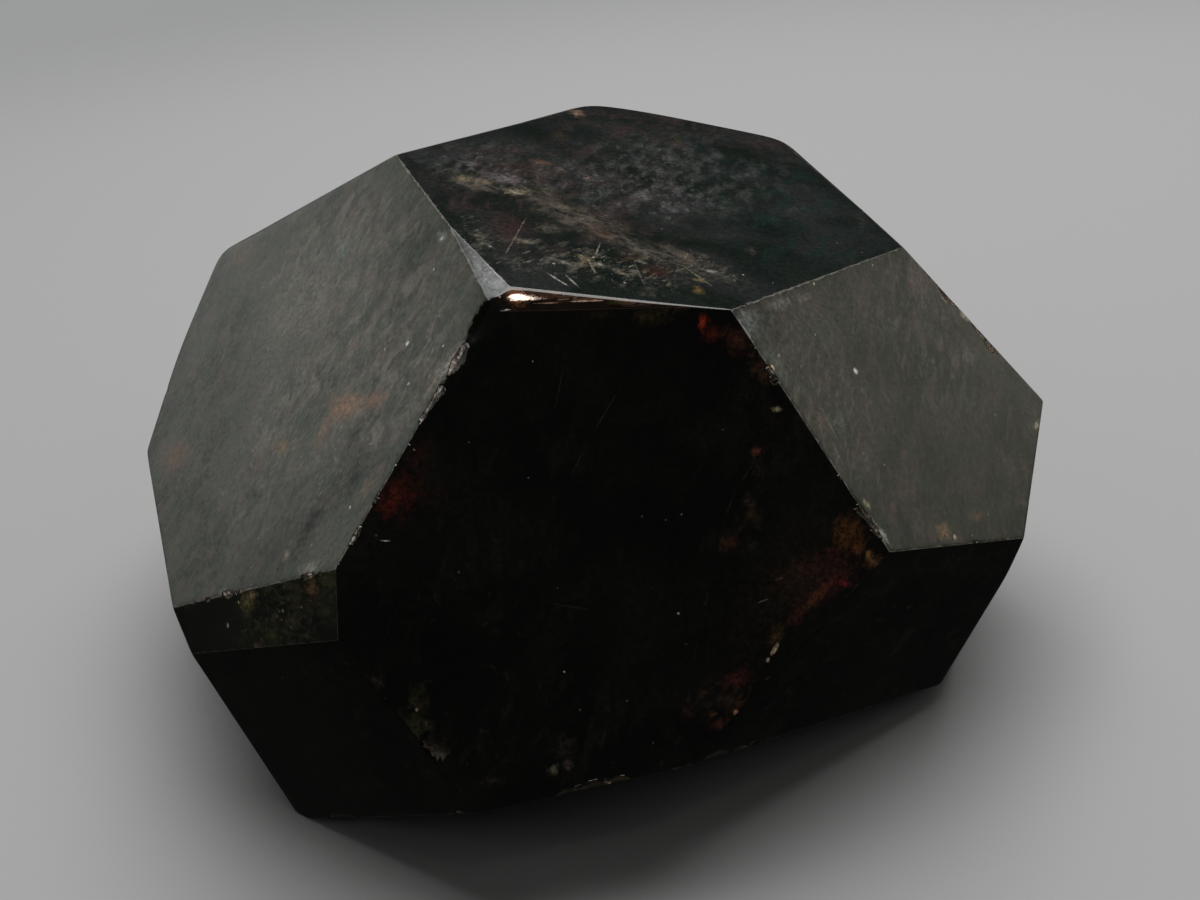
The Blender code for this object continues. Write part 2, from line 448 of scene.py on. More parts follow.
garnet = {
    "ior": 1.79,
    # rims of layers and marks: noise times the first, plus the second, wavers about -1
    "layerWaver": (1.6, -1.8),
    "markWaver": (2.0, -2.0),
    "ovalDepth": 2000.0,      # mm, so deep that an oval's depth never shows
    "speckColour": (0.55, 0.50, 0.42),
    "speckScale": 0.9,        # cells of specks to the mm
    "speckSize": (0.02, 0.07),  # in cells
    "rareSpecks": (0.78, 0.98),  # only cells that draw more than this show one
    "fineScale": 3.4,         # fine grain, in waves to the mm
    "craggy": 0.11,           # mm, height of the grains in a broken place
    "glassyRough": 0.14,
    "crumblyRough": 0.15,     # added where a break is crumbly
    "wornRough": 0.35,        # added along a worn edge
}

# the broken values of the finishes that have none of their own
farBreaks = ((0.012, 0.008, 0.006), (0.13, 0.075, 0.045), (0.60, 0.52, 0.44), 0.56,
             (0.006, 0.0055, 0.005))

# Finishes. Every place is in mm on the face: across it, then up it, from its middle.
# face, up, middle: the face a finish is laid on, which way is up, its middle in mm
# ground: darker and lighter ground colour
# mist: how far the fine grain darkens and lightens everything
# gloss: strength of the polish
# haze: dark and light values between which the polish grows, and its strength at each
# layers: noise stretched along turn by size in mm, shown between the two cut values,
#     bent by bend
# within: place, half widths, turn and strength of the ovals a layer keeps to
# weave: turn and size of the grain that makes the rims of the marks ragged
# patches: place, half widths, turn, strength, colour
# strokes: start, end, half width, strength, colour
# dots: place, radius, colour
# rub: width and strength of the worn edge and its colour, real wear that is also a painted edge
# highlight
# broken: colours of dark, warm and pale grains, noise from which they are pale,
#     colour of glassy breaks
# grind: turn and size of the grinding streaks, range of roughness, depth of streaks
#     and grain in mm, grain in waves to the mm
# specks: how strongly the rare light specks show
topLook = {
    "face": "top",
    "up": (0, 1, 0),
    "middle": (6.04, 2.06, 28.33),
    "ground": ((0.006, 0.012, 0.009), (0.030, 0.033, 0.032)),
    "mist": (0.55, 1.55),
    "layers": [
        {"turn": 78, "size": (3.2, 1.5), "cut": (0.44, 0.64), "colour": (0.062, 0.042, 0.042),
         "strength": 0.8, "within": [(-5, -2, 10, 13, 0, 1.0), (2, 13, 10, 7, 0, 0.9)]},
        {"turn": 70, "size": (3.6, 1.3), "cut": (0.46, 0.66), "colour": (0.012, 0.034, 0.025),
         "strength": 0.8, "within": [(8, -2, 8, 14, 0, 1.0), (2, 8, 6, 8, 0, 0.6)]},
        {"turn": 78, "size": (2.4, 0.9), "cut": (0.42, 0.72), "bend": 0.2,
         "colour": (0.112, 0.116, 0.113), "strength": 0.8,
         "within": [(-1, 0, 8, 8, 0, 1.0), (3, 5, 8, 10, 0, 0.8), (-10, 1, 5, 7, 0, 0.7)]},
        {"turn": 80, "size": (1.0, 0.42), "cut": (0.50, 0.76), "bend": 0.2,
         "colour": (0.215, 0.21, 0.205), "strength": 0.8,
         "within": [(-1, -1, 6, 6, 0, 1.0), (-9, -1, 4.5, 4.5, 0, 1.0), (1, 6, 5, 6, 0, 0.5)]},
        {"turn": -44, "size": (1.8, 0.7), "cut": (0.40, 0.66), "colour": (0.15, 0.125, 0.098),
         "strength": 0.9, "within": [(-8.5, -3, 4.5, 2.4, -20, 1.0), (-4, -7.5, 5, 2.3, -50, 1.0),
                                     (0, -11.5, 4.5, 1.6, -42, 0.9)]},
        {"turn": 64, "size": (1.3, 0.7), "cut": (0.48, 0.74), "bend": 0.3,
         "colour": (0.160, 0.145, 0.118), "strength": 0.9,
         "within": [(-4, -13.5, 7, 3.6, 0, 1.0), (-4.5, -7.5, 5, 2.2, -50, 0.9),
                    (1.2, -12.5, 3.5, 2.2, -40, 1.0), (-9.8, -11, 1.8, 3.6, 14, 0.9)]},
        {"turn": 52, "size": (0.9, 0.26), "cut": (0.56, 0.76), "bend": 0.5,
         "colour": (0.40, 0.36, 0.28), "strength": 0.9,
         "within": [(-4, -13.2, 7, 3.0, 0, 1.0), (1.2, -12.5, 3.5, 2.0, -40, 1.0),
                    (-9.8, -11, 1.6, 3.6, 14, 0.9)]},
        {"turn": 72, "size": (0.42, 0.20), "cut": (0.60, 0.72), "bend": 1.0,
         "colour": (0.42, 0.39, 0.32), "strength": 0.9,
         "within": [(-4, -14, 7, 3.0, 0, 0.9), (-4.5, -7.5, 5, 1.8, -50, 0.8),
                    (1.2, -12.5, 3.5, 2.2, -40, 0.9), (-9.8, -11, 1.6, 3.6, 14, 0.8)]},
    ],
    "weave": (75, 1.0, 0.45),
    "patches": [
        (-8.2, -10.0, 1.5, 3.4, 4, 0.75, (0.070, 0.030, 0.027)),
        (-7.6, 0.6, 3.2, 2.4, -20, 0.60, (0.075, 0.040, 0.034)),
        (-0.8, -13.6, 1.1, 1.3, 0, 0.75, (0.085, 0.028, 0.022)),
        (-3.4, -9.0, 1.3, 2.2, 10, 0.60, (0.105, 0.058, 0.045)),
        (-2.2, -12.2, 1.0, 1.0, 0, 0.60, (0.075, 0.036, 0.028)),
        (-7.0, -12.8, 1.3, 1.8, 0, 0.80, (0.010, 0.013, 0.012)),
        (7.0, -11.0, 5.0, 3.0, 40, 0.80, (0.014, 0.021, 0.018)),
        (2.2, -6.0, 1.6, 2.4, -30, 0.60, (0.008, 0.013, 0.012)),
        (4.6, 10.0, 1.8, 4.0, -15, 0.60, (0.008, 0.014, 0.014)),
        (-13.6, -3.0, 0.9, 6.2, 15, 0.90, (0.012, 0.014, 0.014)),
        (-12.4, -8.0, 0.6, 3.4, 15, 0.60, (0.012, 0.014, 0.014)),
        (-10.9, -2.6, 0.9, 0.8, 0, 0.90, (0.27, 0.22, 0.13)),
        (-9.8, -2.8, 0.8, 0.8, 0, 0.90, (0.28, 0.225, 0.15)),
        (-8.0, -3.8, 1.0, 0.8, 0, 1.00, (0.42, 0.36, 0.26)),
        (-8.5, -1.6, 1.3, 1.2, -30, 0.90, (0.25, 0.22, 0.235)),
        (-10.6, 0.5, 0.7, 0.9, 0, 0.75, (0.22, 0.20, 0.19)),
        (-6.5, 2.3, 0.9, 0.9, 0, 0.80, (0.21, 0.125, 0.080)),
        (-5.3, 1.3, 0.5, 0.9, 0, 0.75, (0.21, 0.17, 0.14)),
        (-3.7, 0.2, 0.45, 0.9, 0, 0.85, (0.26, 0.20, 0.17)),
        (-0.5, -2.0, 0.9, 1.5, 0, 0.75, (0.17, 0.17, 0.17)),
        (0.9, -4.0, 0.7, 0.8, -30, 0.75, (0.19, 0.19, 0.19)),
        (1.5, 0.2, 0.6, 2.6, 4, 0.60, (0.15, 0.145, 0.15)),
        (1.7, 6.4, 0.5, 1.4, 0, 0.50, (0.13, 0.125, 0.11)),
        (6.0, 0.6, 0.5, 2.6, -14, 0.60, (0.10, 0.10, 0.088)),
        (2.8, 10.8, 0.7, 2.0, -8, 0.60, (0.085, 0.085, 0.050)),
        (-0.2, 3.8, 0.5, 1.0, 0, 0.60, (0.15, 0.145, 0.14)),
        (3.2, 3.6, 0.6, 1.8, 0, 0.45, (0.085, 0.090, 0.088)),
        (9.2, 13.0, 1.6, 2.4, 0, 0.60, (0.070, 0.040, 0.036)),
        (-5.2, 8.6, 1.0, 1.4, 0, 0.60, (0.075, 0.060, 0.036)),
        (-1.0, 12.5, 1.6, 3.4, 0, 0.60, (0.052, 0.040, 0.032)),
        (1.0, -15.6, 0.40, 0.8, 0, 0.90, (0.30, 0.20, 0.06)),
        (1.2, -14.2, 0.5, 0.5, 40, 0.85, (0.27, 0.21, 0.10)),
        (2.0, -12.9, 0.5, 0.3, 20, 1.00, (0.52, 0.48, 0.42)),
        (-4.3, -13.4, 0.8, 0.7, -40, 0.75, (0.24, 0.18, 0.11)),
        (-6.2, -9.2, 0.9, 0.9, -30, 0.75, (0.19, 0.175, 0.13)),
        (-1.4, -11.0, 1.2, 0.5, -40, 0.80, (0.24, 0.22, 0.18)),
        (-5.4, -5.6, 1.2, 0.6, -40, 0.80, (0.22, 0.19, 0.13)),
        (-9.5, -11.8, 0.5, 1.3, 20, 0.75, (0.20, 0.185, 0.15)),
        (4.6, -9.2, 0.4, 1.0, 5, 0.60, (0.12, 0.095, 0.080)),
        (-3.7, -13.6, 0.6, 0.35, -40, 0.95, (0.40, 0.38, 0.31)),
        (-4.4, -12.9, 0.8, 0.40, -40, 0.85, (0.32, 0.28, 0.17)),
        (-5.5, -13.8, 1.0, 0.35, -25, 0.85, (0.34, 0.32, 0.27)),
        (-2.7, -14.4, 0.6, 0.30, -40, 0.85, (0.32, 0.29, 0.22)),
        (-1.6, -12.6, 0.6, 0.30, -40, 0.85, (0.33, 0.31, 0.24)),
        (-7.4, -11.4, 0.9, 0.5, -30, 0.80, (0.26, 0.24, 0.18)),
        (12.5, -2.0, 0.5, 2.6, -10, 0.45, (0.060, 0.058, 0.045)),
        (-3.9, 15.2, 0.8, 1.7, 5, 1.00, (0.42, 0.26, 0.20)),
    ],
    "strokes": [
        (-7.3, -7.6, -8.5, -14.5, 0.06, 0.8, (0.26, 0.24, 0.20)),
        (-5.5, -15.3, -4.8, -16.9, 0.09, 1.0, (0.45, 0.43, 0.38)),
        (-6.4, -15.3, -5.2, -17.0, 0.09, 1.0, (0.45, 0.43, 0.38)),
        (-4.4, -12.4, -3.9, -15.2, 0.08, 0.8, (0.32, 0.29, 0.24)),
        (-2.0, -12.0, -1.6, -16.5, 0.05, 0.7, (0.20, 0.19, 0.17)),
        (-3.5, -10.4, -3.9, -12.6, 0.08, 0.9, (0.34, 0.31, 0.26)),
        (0.4, -12.2, 1.9, -15.2, 0.07, 0.8, (0.30, 0.26, 0.18)),
        (-9.4, -12.2, -8.9, -13.0, 0.10, 0.9, (0.34, 0.32, 0.28)),
    ],
    "dots": [(-4.0, -12.7, 0.10, (0.5, 0.5, 0.45)), (3.6, -12.9, 0.09, (0.5, 0.5, 0.45)),
             (-6.0, -14.1, 0.09, (0.5, 0.46, 0.4)), (5.0, -13.6, 0.07, (0.4, 0.4, 0.36)),
             (-9.9, -14.0, 0.08, (0.5, 0.5, 0.45)), (-2.6, -15.6, 0.08, (0.5, 0.5, 0.45))],
    "rubAndHighlight": (0.16, 0.45, (0.22, 0.20, 0.18)),
    "grind": {"turn": 75, "size": (2.4, 0.4), "roughness": (0.10, 0.19),
              "streakDepth": 0.002, "grainDepth": 0.0015},
    "specks": 0.5,
}

frontLook = {
    "face": "front",
    "up": (0, 0, 1),
    "middle": (1.02, -20.70, 18.46),
    "ground": ((0.0010, 0.0011, 0.0010), (0.0060, 0.0056, 0.0044)),
    "mist": (0.45, 1.6),
    "layers": [
        {"turn": 60, "size": (2.6, 1.1), "cut": (0.48, 0.72), "colour": (0.011, 0.010, 0.007),
         "strength": 0.8, "within": [(-5, 3, 9, 10, 0, 1.0), (-3, -8, 9, 4, 0, 1.0),
                                     (8, 2, 6, 9, 0, 0.8)]},
        {"turn": 60, "size": (0.8, 0.5), "cut": (0.58, 0.74), "colour": (0.026, 0.022, 0.014),
         "strength": 0.7, "within": [(-7, -3, 6, 9, 0, 1.0), (0, -9, 9, 2.4, 0, 1.0),
                                     (8.5, 5, 3, 6, 0, 1.0)]},
        {"turn": 40, "size": (0.7, 0.35), "cut": (0.50, 0.68), "colour": (0.105, 0.045, 0.018),
         "strength": 0.7, "within": [(11.9, -1.5, 1.4, 1.3, 0, 1.0), (9.6, -3.8, 2.4, 1.1, 33, 0.8),
                                     (4.6, -8.4, 1.6, 1.5, 20, 0.6), (8.0, 8.4, 2.2, 0.9, -52, 0.6),
                                     (7.0, 0.2, 0.9, 1.6, -15, 0.4)]},
    ],
    "weave": (55, 0.55, 0.40),
    "patches": [
        # brown haze between the healed crack and the skirt
        (8.0, -3.2, 3.2, 6.2, -35, 0.85, (0.0085, 0.0066, 0.0040)),
        (6.4, -5.0, 2.0, 4.0, -35, 0.60, (0.0120, 0.0080, 0.0050)),
        # deep red glows: light shining through the stone, painted into the colour
        (-8.8, 4.3, 1.6, 1.3, 25, 0.85, (0.078, 0.012, 0.006)),
        (-9.2, 4.0, 0.9, 0.6, 25, 0.75, (0.125, 0.017, 0.009)),
        (-7.6, 5.9, 1.3, 1.0, 60, 0.60, (0.036, 0.009, 0.007)),
        (-7.2, 3.9, 1.0, 0.7, 30, 0.50, (0.030, 0.008, 0.006)),
        (6.45, 9.75, 0.36, 0.60, -10, 1.0, (0.42, 0.042, 0.024)),
        (6.8, 9.1, 0.6, 0.6, 0, 0.70, (0.12, 0.018, 0.010)),
        (4.1, 10.4, 1.2, 0.6, -10, 0.80, (0.045, 0.032, 0.010)),
        (5.4, 10.6, 0.7, 0.4, -10, 0.70, (0.060, 0.030, 0.012)),
        (1.8, 10.9, 1.4, 0.4, -6, 0.60, (0.022, 0.015, 0.008)),
        (7.9, 8.6, 1.1, 0.8, -50, 0.75, (0.070, 0.024, 0.012)),
        (8.9, 6.9, 0.6, 0.9, 25, 0.80, (0.075, 0.034, 0.016)),
        (8.9, 5.0, 0.7, 1.4, 20, 0.60, (0.018, 0.013, 0.008)),
        (8.04, 3.27, 0.42, 0.32, 0, 0.95, (0.125, 0.040, 0.022)),
        (8.0, 2.5, 0.45, 1.0, 5, 0.70, (0.024, 0.019, 0.012)),
        (7.25, 1.05, 0.40, 0.50, 0, 0.80, (0.046, 0.034, 0.030)),
        (7.45, 0.30, 0.50, 0.90, 10, 0.80, (0.034, 0.025, 0.011)),
        (6.0, -0.75, 0.70, 0.60, 20, 0.90, (0.066, 0.025, 0.013)),
        (7.2, -1.1, 0.35, 0.60, 0, 0.70, (0.028, 0.028, 0.020)),
        # the large orange and red flaw by the right corner
        (10.6, -2.8, 3.4, 1.9, 12, 0.85, (0.020, 0.010, 0.006)),
        (11.8, -1.3, 1.15, 0.95, 60, 0.90, (0.120, 0.046, 0.010)),
        (12.2, -2.1, 0.55, 0.40, 0, 0.95, (0.200, 0.072, 0.016)),
        (12.9, -2.95, 0.55, 0.80, 60, 0.95, (0.150, 0.070, 0.028)),
        (12.7, -2.6, 0.28, 0.22, 40, 1.00, (0.300, 0.160, 0.060)),
        (9.6, -2.8, 2.3, 1.0, 10, 0.85, (0.046, 0.017, 0.011)),
        (10.8, -2.3, 1.0, 0.6, 0, 0.80, (0.050, 0.012, 0.011)),
        (10.4, -3.5, 2.6, 1.2, 35, 0.75, (0.040, 0.014, 0.010)),
        (8.6, -3.6, 2.2, 1.5, 35, 0.60, (0.022, 0.012, 0.007)),
        (11.0, -3.6, 1.1, 0.45, 22, 0.85, (0.090, 0.016, 0.014)),
        (11.36, -3.76, 0.34, 0.30, 0, 1.00, (0.260, 0.020, 0.032)),
        (10.0, -4.0, 1.5, 0.50, 33, 0.90, (0.090, 0.022, 0.012)),
        (9.5, -4.4, 1.3, 0.28, 36, 0.85, (0.085, 0.036, 0.014)),
        (8.8, -4.9, 0.8, 0.45, 40, 0.85, (0.058, 0.013, 0.014)),
        (7.6, -5.6, 0.50, 0.75, -40, 0.90, (0.085, 0.045, 0.013)),
        # lower red flaw
        (5.4, -7.3, 1.0, 0.7, 25, 0.90, (0.062, 0.013, 0.014)),
        (4.8, -8.3, 1.0, 0.8, 10, 0.80, (0.036, 0.023, 0.014)),
        (4.3, -9.4, 0.7, 0.45, 0, 0.90, (0.078, 0.020, 0.015)),
        (4.0, -8.8, 0.35, 0.25, 0, 0.80, (0.110, 0.055, 0.022)),
        (2.75, -8.4, 0.5, 0.7, 0, 0.80, (0.040, 0.011, 0.010)),
        (1.8, -9.2, 0.5, 0.6, 0, 0.50, (0.020, 0.014, 0.010)),
        # olive haze round the pit
        (-10.4, -6.6, 1.2, 1.3, 0, 0.85, (0.042, 0.040, 0.015)),
        (-9.6, -5.4, 0.7, 1.2, 0, 0.80, (0.036, 0.032, 0.014)),
        (-9.6, -6.9, 0.8, 0.8, 0, 0.80, (0.060, 0.058, 0.024)),
        (-11.3, -4.0, 0.5, 0.6, 0, 0.80, (0.050, 0.036, 0.030)),
        (-4.0, -9.9, 0.45, 0.30, 30, 0.95, (0.130, 0.110, 0.080)),
        (-3.3, -9.8, 0.40, 0.35, 0, 0.90, (0.100, 0.070, 0.066)),
        (-3.2, -9.0, 0.9, 0.6, 25, 0.80, (0.030, 0.026, 0.017)),
        (-9.4, -9.6, 0.30, 0.20, 30, 0.95, (0.160, 0.105, 0.100)),
        (-7.0, -9.8, 0.55, 0.25, 0, 0.80, (0.046, 0.036, 0.020)),
        (9.3, 5.1, 0.30, 0.22, 0, 1.00, (0.34, 0.28, 0.18)),
        (9.4, 6.5, 0.26, 0.35, 0, 1.00, (0.60, 0.36, 0.20)),
    ],
    "strokes": [
        # healed crack, in runs
        (8.0, 3.0, 7.0, 1.9, 0.06, 0.8, (0.030, 0.022, 0.016)),
        (6.75, 1.8, 6.1, 0.5, 0.07, 0.7, (0.036, 0.030, 0.024)),
        (5.9, -0.2, 5.4, -1.3, 0.08, 0.7, (0.034, 0.027, 0.020)),
        (4.8, -2.7, 4.2, -4.0, 0.08, 0.6, (0.020, 0.015, 0.010)),
        (3.9, -4.9, 3.4, -6.1, 0.07, 0.6, (0.024, 0.019, 0.014)),
        (3.2, -6.8, 2.7, -8.6, 0.07, 0.7, (0.030, 0.016, 0.011)),
        (13.0, -3.1, 9.6, -6.0, 0.08, 0.7, (0.024, 0.022, 0.014)),
        (9.6, -6.0, 7.2, -8.2, 0.08, 0.6, (0.020, 0.018, 0.012)),
        # bright streak in the flaw
        (7.75, -5.95, 7.15, -6.60, 0.12, 1.0, (0.70, 0.56, 0.38)),
        (7.15, -6.60, 6.95, -6.85, 0.10, 1.0, (0.60, 0.48, 0.36)),
        # painted highlight on the lower lip of the pit
        (-10.6, -7.9, -10.1, -8.25, 0.10, 1.0, (0.80, 0.66, 0.34)),
        (-10.2, -8.2, -9.3, -8.36, 0.14, 1.0, (1.00, 0.95, 0.66)),
        (-9.4, -8.36, -8.8, -8.1, 0.08, 1.0, (0.70, 0.60, 0.34)),
        # scratches and bright dashes
        (-0.2, 9.1, -1.3, 6.3, 0.05, 0.8, (0.028, 0.025, 0.019)),
        (2.3, 7.6, 0.2, 5.2, 0.05, 0.8, (0.024, 0.022, 0.017)),
        (0.2, 5.2, -1.2, 3.2, 0.05, 0.8, (0.026, 0.023, 0.017)),
        (-3.0, -1.9, -0.9, -2.7, 0.06, 0.8, (0.028, 0.025, 0.021)),
        (-9.95, 2.38, -9.5, 2.28, 0.05, 1.0, (0.60, 0.58, 0.52)),
        (7.9, -3.0, 8.4, -2.9, 0.06, 0.9, (0.060, 0.055, 0.042)),
        (6.9, -3.9, 7.5, -3.8, 0.05, 1.0, (0.140, 0.130, 0.110)),
    ],
    "dots": [(-2.7, -5.33, 0.072, (0.49, 0.48, 0.42)), (3.1, -3.65, 0.080, (0.49, 0.42, 0.32)),
             (4, 1, 0.056, (0.32, 0.32, 0.29)), (-2.8, 4, 0.056, (0.14, 0.13, 0.12)),
             (-7.7, 6.2, 0.072, (0.42, 0.36, 0.25)), (-5.2, 6.1, 0.048, (0.35, 0.24, 0.15)),
             (-1.7, 9.25, 0.056, (0.32, 0.30, 0.28)), (5.09, -8.94, 0.136, (0.52, 0.24, 0.11)),
             (-8.85, -7.36, 0.128, (0.66, 0.29, 0.17)), (-9.73, -5.72, 0.096, (0.35, 0.28, 0.18)),
             (-10.5, -7.05, 0.096, (0.29, 0.18, 0.14)), (-10.7, -6.4, 0.096, (0.15, 0.12, 0.06)),
             (0.9, -9.6, 0.048, (0.21, 0.07, 0.07)), (6.6, 4.6, 0.048, (0.08, 0.07, 0.06))],
    "rubAndHighlight": (0.05, 0.15, (0.04, 0.035, 0.03)),
    "broken": ((0.003, 0.0025, 0.0015), (0.026, 0.021, 0.008), (0.40, 0.30, 0.18), 0.64,
               (0.004, 0.0038, 0.003)),
    "grind": {"turn": 55, "size": (3.0, 0.3), "roughness": (0.08, 0.15),
              "streakDepth": 0.0015, "grainDepth": 0.001},
    "specks": 0.22,
}

leftLook = {
    "face": "leftShoulder",
    "up": (0, 0, 1),
    "middle": (-16.25, -3.94, 22.06),
    "ground": ((0.034, 0.043, 0.031), (0.073, 0.084, 0.063)),
    "mist": (0.62, 1.45),
    "layers": [
        {"turn": 105, "size": (1.7, 1.4), "cut": (0.44, 0.68), "colour": (0.118, 0.090, 0.072),
         "strength": 0.8},
        {"turn": 30, "size": (1.2, 1.0), "cut": (0.48, 0.68), "colour": (0.048, 0.080, 0.054),
         "strength": 0.75},
        {"turn": 105, "size": (1.5, 1.0), "cut": (0.42, 0.66), "colour": (0.200, 0.185, 0.150),
         "strength": 0.9, "within": [(-2, 7, 13, 7, 20, 0.9), (11, 6, 8, 8, 0, 1.0),
                                     (4, 1, 4, 9, -20, 0.9), (9, -4, 7, 4, 30, 0.6)]},
        {"turn": 100, "size": (0.45, 0.38), "cut": (0.52, 0.70), "colour": (0.240, 0.215, 0.160),
         "strength": 0.8, "within": [(9, 2, 8, 9, 0, 1.0), (4, -2, 4, 8, -15, 1.0),
                                     (-6, -9, 6, 3, 0, 0.5)]},
        {"turn": 95, "size": (0.30, 0.16), "cut": (0.57, 0.70), "colour": (0.42, 0.42, 0.38),
         "strength": 0.8, "within": [(15.2, 6.0, 3.0, 4.5, 0, 1.0), (13, 0, 4, 3, 0, 0.6),
                                     (14.5, -3.6, 3.4, 2.0, 30, 0.6)]},
    ],
    "weave": (60, 0.7, 0.4),
    "haze": (0.015, 0.075, 0.18, 0.5),
    "patches": [
        (12.0, -5.5, 7.0, 5.5, -20, 0.70, (0.024, 0.028, 0.022)),
        (-2.0, 3.0, 9.0, 7.5, 20, 0.55, (0.246, 0.232, 0.189)),
        (9.9, 1.9, 2.3, 1.1, 20, 0.95, (0.420, 0.200, 0.100)),
        (12.2, 3.3, 1.7, 0.7, 28, 0.85, (0.340, 0.160, 0.090)),
        (9.3, 0.5, 0.9, 1.9, 8, 0.80, (0.300, 0.165, 0.105)),
        (6.1, -2.6, 1.3, 0.8, 15, 0.85, (0.304, 0.210, 0.087)),
        (6.8, 4.4, 1.1, 0.6, 0, 0.70, (0.217, 0.138, 0.094)),
        (4.2, 3.2, 1.4, 0.7, -10, 0.70, (0.189, 0.167, 0.102)),
        (2.5, 5.2, 1.1, 0.9, 0, 0.70, (0.189, 0.171, 0.116)),
        (2.8, 1.6, 0.8, 1.6, 0, 0.55, (0.174, 0.160, 0.096)),
        (-1.8, 7.2, 1.6, 1.1, 0, 0.70, (0.102, 0.181, 0.167)),
        (-2.2, 7.4, 0.7, 0.4, 0, 0.70, (0.217, 0.268, 0.261)),
        (-6.7, -9.8, 3.4, 1.7, 20, 0.80, (0.225, 0.109, 0.061)),
        (-16.8, 2.0, 3.0, 1.6, 15, 0.60, (0.189, 0.116, 0.065)),
        (-6.7, 2.3, 0.9, 0.7, 0, 0.60, (0.217, 0.217, 0.174)),
        (-3.5, 9.4, 1.0, 0.5, 0, 0.60, (0.217, 0.174, 0.123)),
        (-8.7, 5.0, 0.8, 0.5, 0, 0.60, (0.189, 0.145, 0.102)),
        (6.5, -4.8, 1.6, 0.8, 20, 0.60, (0.217, 0.217, 0.181)),
        (13.9, -3.3, 1.1, 2.7, 10, 0.95, (0.003, 0.005, 0.004)),
        (15.0, 0.3, 1.8, 2.2, -10, 0.85, (0.006, 0.009, 0.007)),
        (12.6, 1.2, 1.4, 1.0, 20, 0.60, (0.012, 0.014, 0.012)),
        (16.6, 7.4, 0.8, 1.8, -5, 0.85, (0.493, 0.450, 0.392)),
        (16.0, 4.6, 1.2, 2.0, -5, 0.55, (0.232, 0.217, 0.174)),
        (16.6, 0.4, 0.9, 1.4, -5, 0.60, (0.261, 0.160, 0.102)),
        (16.4, -4.4, 1.4, 0.5, 38, 0.85, (0.377, 0.362, 0.304)),
        (13.6, -5.3, 0.5, 0.4, 0, 0.85, (0.377, 0.275, 0.189)),
        (12.4, -8.4, 1.1, 0.4, 40, 0.90, (0.435, 0.319, 0.160)),
        (9.9, -9.9, 0.5, 0.3, 40, 0.90, (0.580, 0.522, 0.377)),
        (8.4, 11.6, 0.9, 0.4, -8, 0.80, (0.377, 0.392, 0.362)),
        (6.6, 12.7, 0.7, 0.3, -8, 0.90, (0.435, 0.290, 0.217)),
    ],
    "strokes": [
        (7.4, -8.6, 5.8, -5.2, 0.14, 0.5, (0.15, 0.15, 0.125)),
        (4.6, -1.6, 3.0, 1.6, 0.12, 0.5, (0.14, 0.13, 0.10)),
        (0.4, 9.4, 1.4, 6.2, 0.10, 0.5, (0.12, 0.12, 0.10)),
        (9.8, -6.4, 10.8, -4.6, 0.06, 0.7, (0.20, 0.20, 0.17)),
        (14.2, 1.6, 14.9, 2.1, 0.06, 0.8, (0.40, 0.38, 0.33)),
        (12.6, -2.6, 13.6, -0.8, 0.05, 0.7, (0.24, 0.23, 0.18)),
    ],
    "dots": [(11.85, 6.5, 0.19, (0.95, 1.0, 0.92)), (8.5, 11.55, 0.17, (0.9, 0.95, 0.9)),
             (9.7, 10.1, 0.09, (0.6, 0.62, 0.58)), (10.1, 5.4, 0.09, (0.6, 0.62, 0.58)),
             (16.3, -0.9, 0.10, (0.6, 0.62, 0.54)), (13.1, 8.6, 0.08, (0.6, 0.6, 0.56)),
             (14.3, 5.2, 0.10, (0.7, 0.7, 0.66)), (15.1, 7.7, 0.09, (0.7, 0.7, 0.66))],
    "rubAndHighlight": (0.20, 0.6, (0.34, 0.34, 0.32)),
    "broken": ((0.020, 0.014, 0.010), (0.26, 0.17, 0.11), (0.95, 0.92, 0.88), 0.52,
               (0.004, 0.0038, 0.003)),
    "grind": {"turn": 105, "size": (0.5, 0.25), "roughness": (0.27, 0.42),
              "streakDepth": 0.0008, "grainDepth": 0.010, "grainScale": 4.0},
    "specks": 0.6,
}

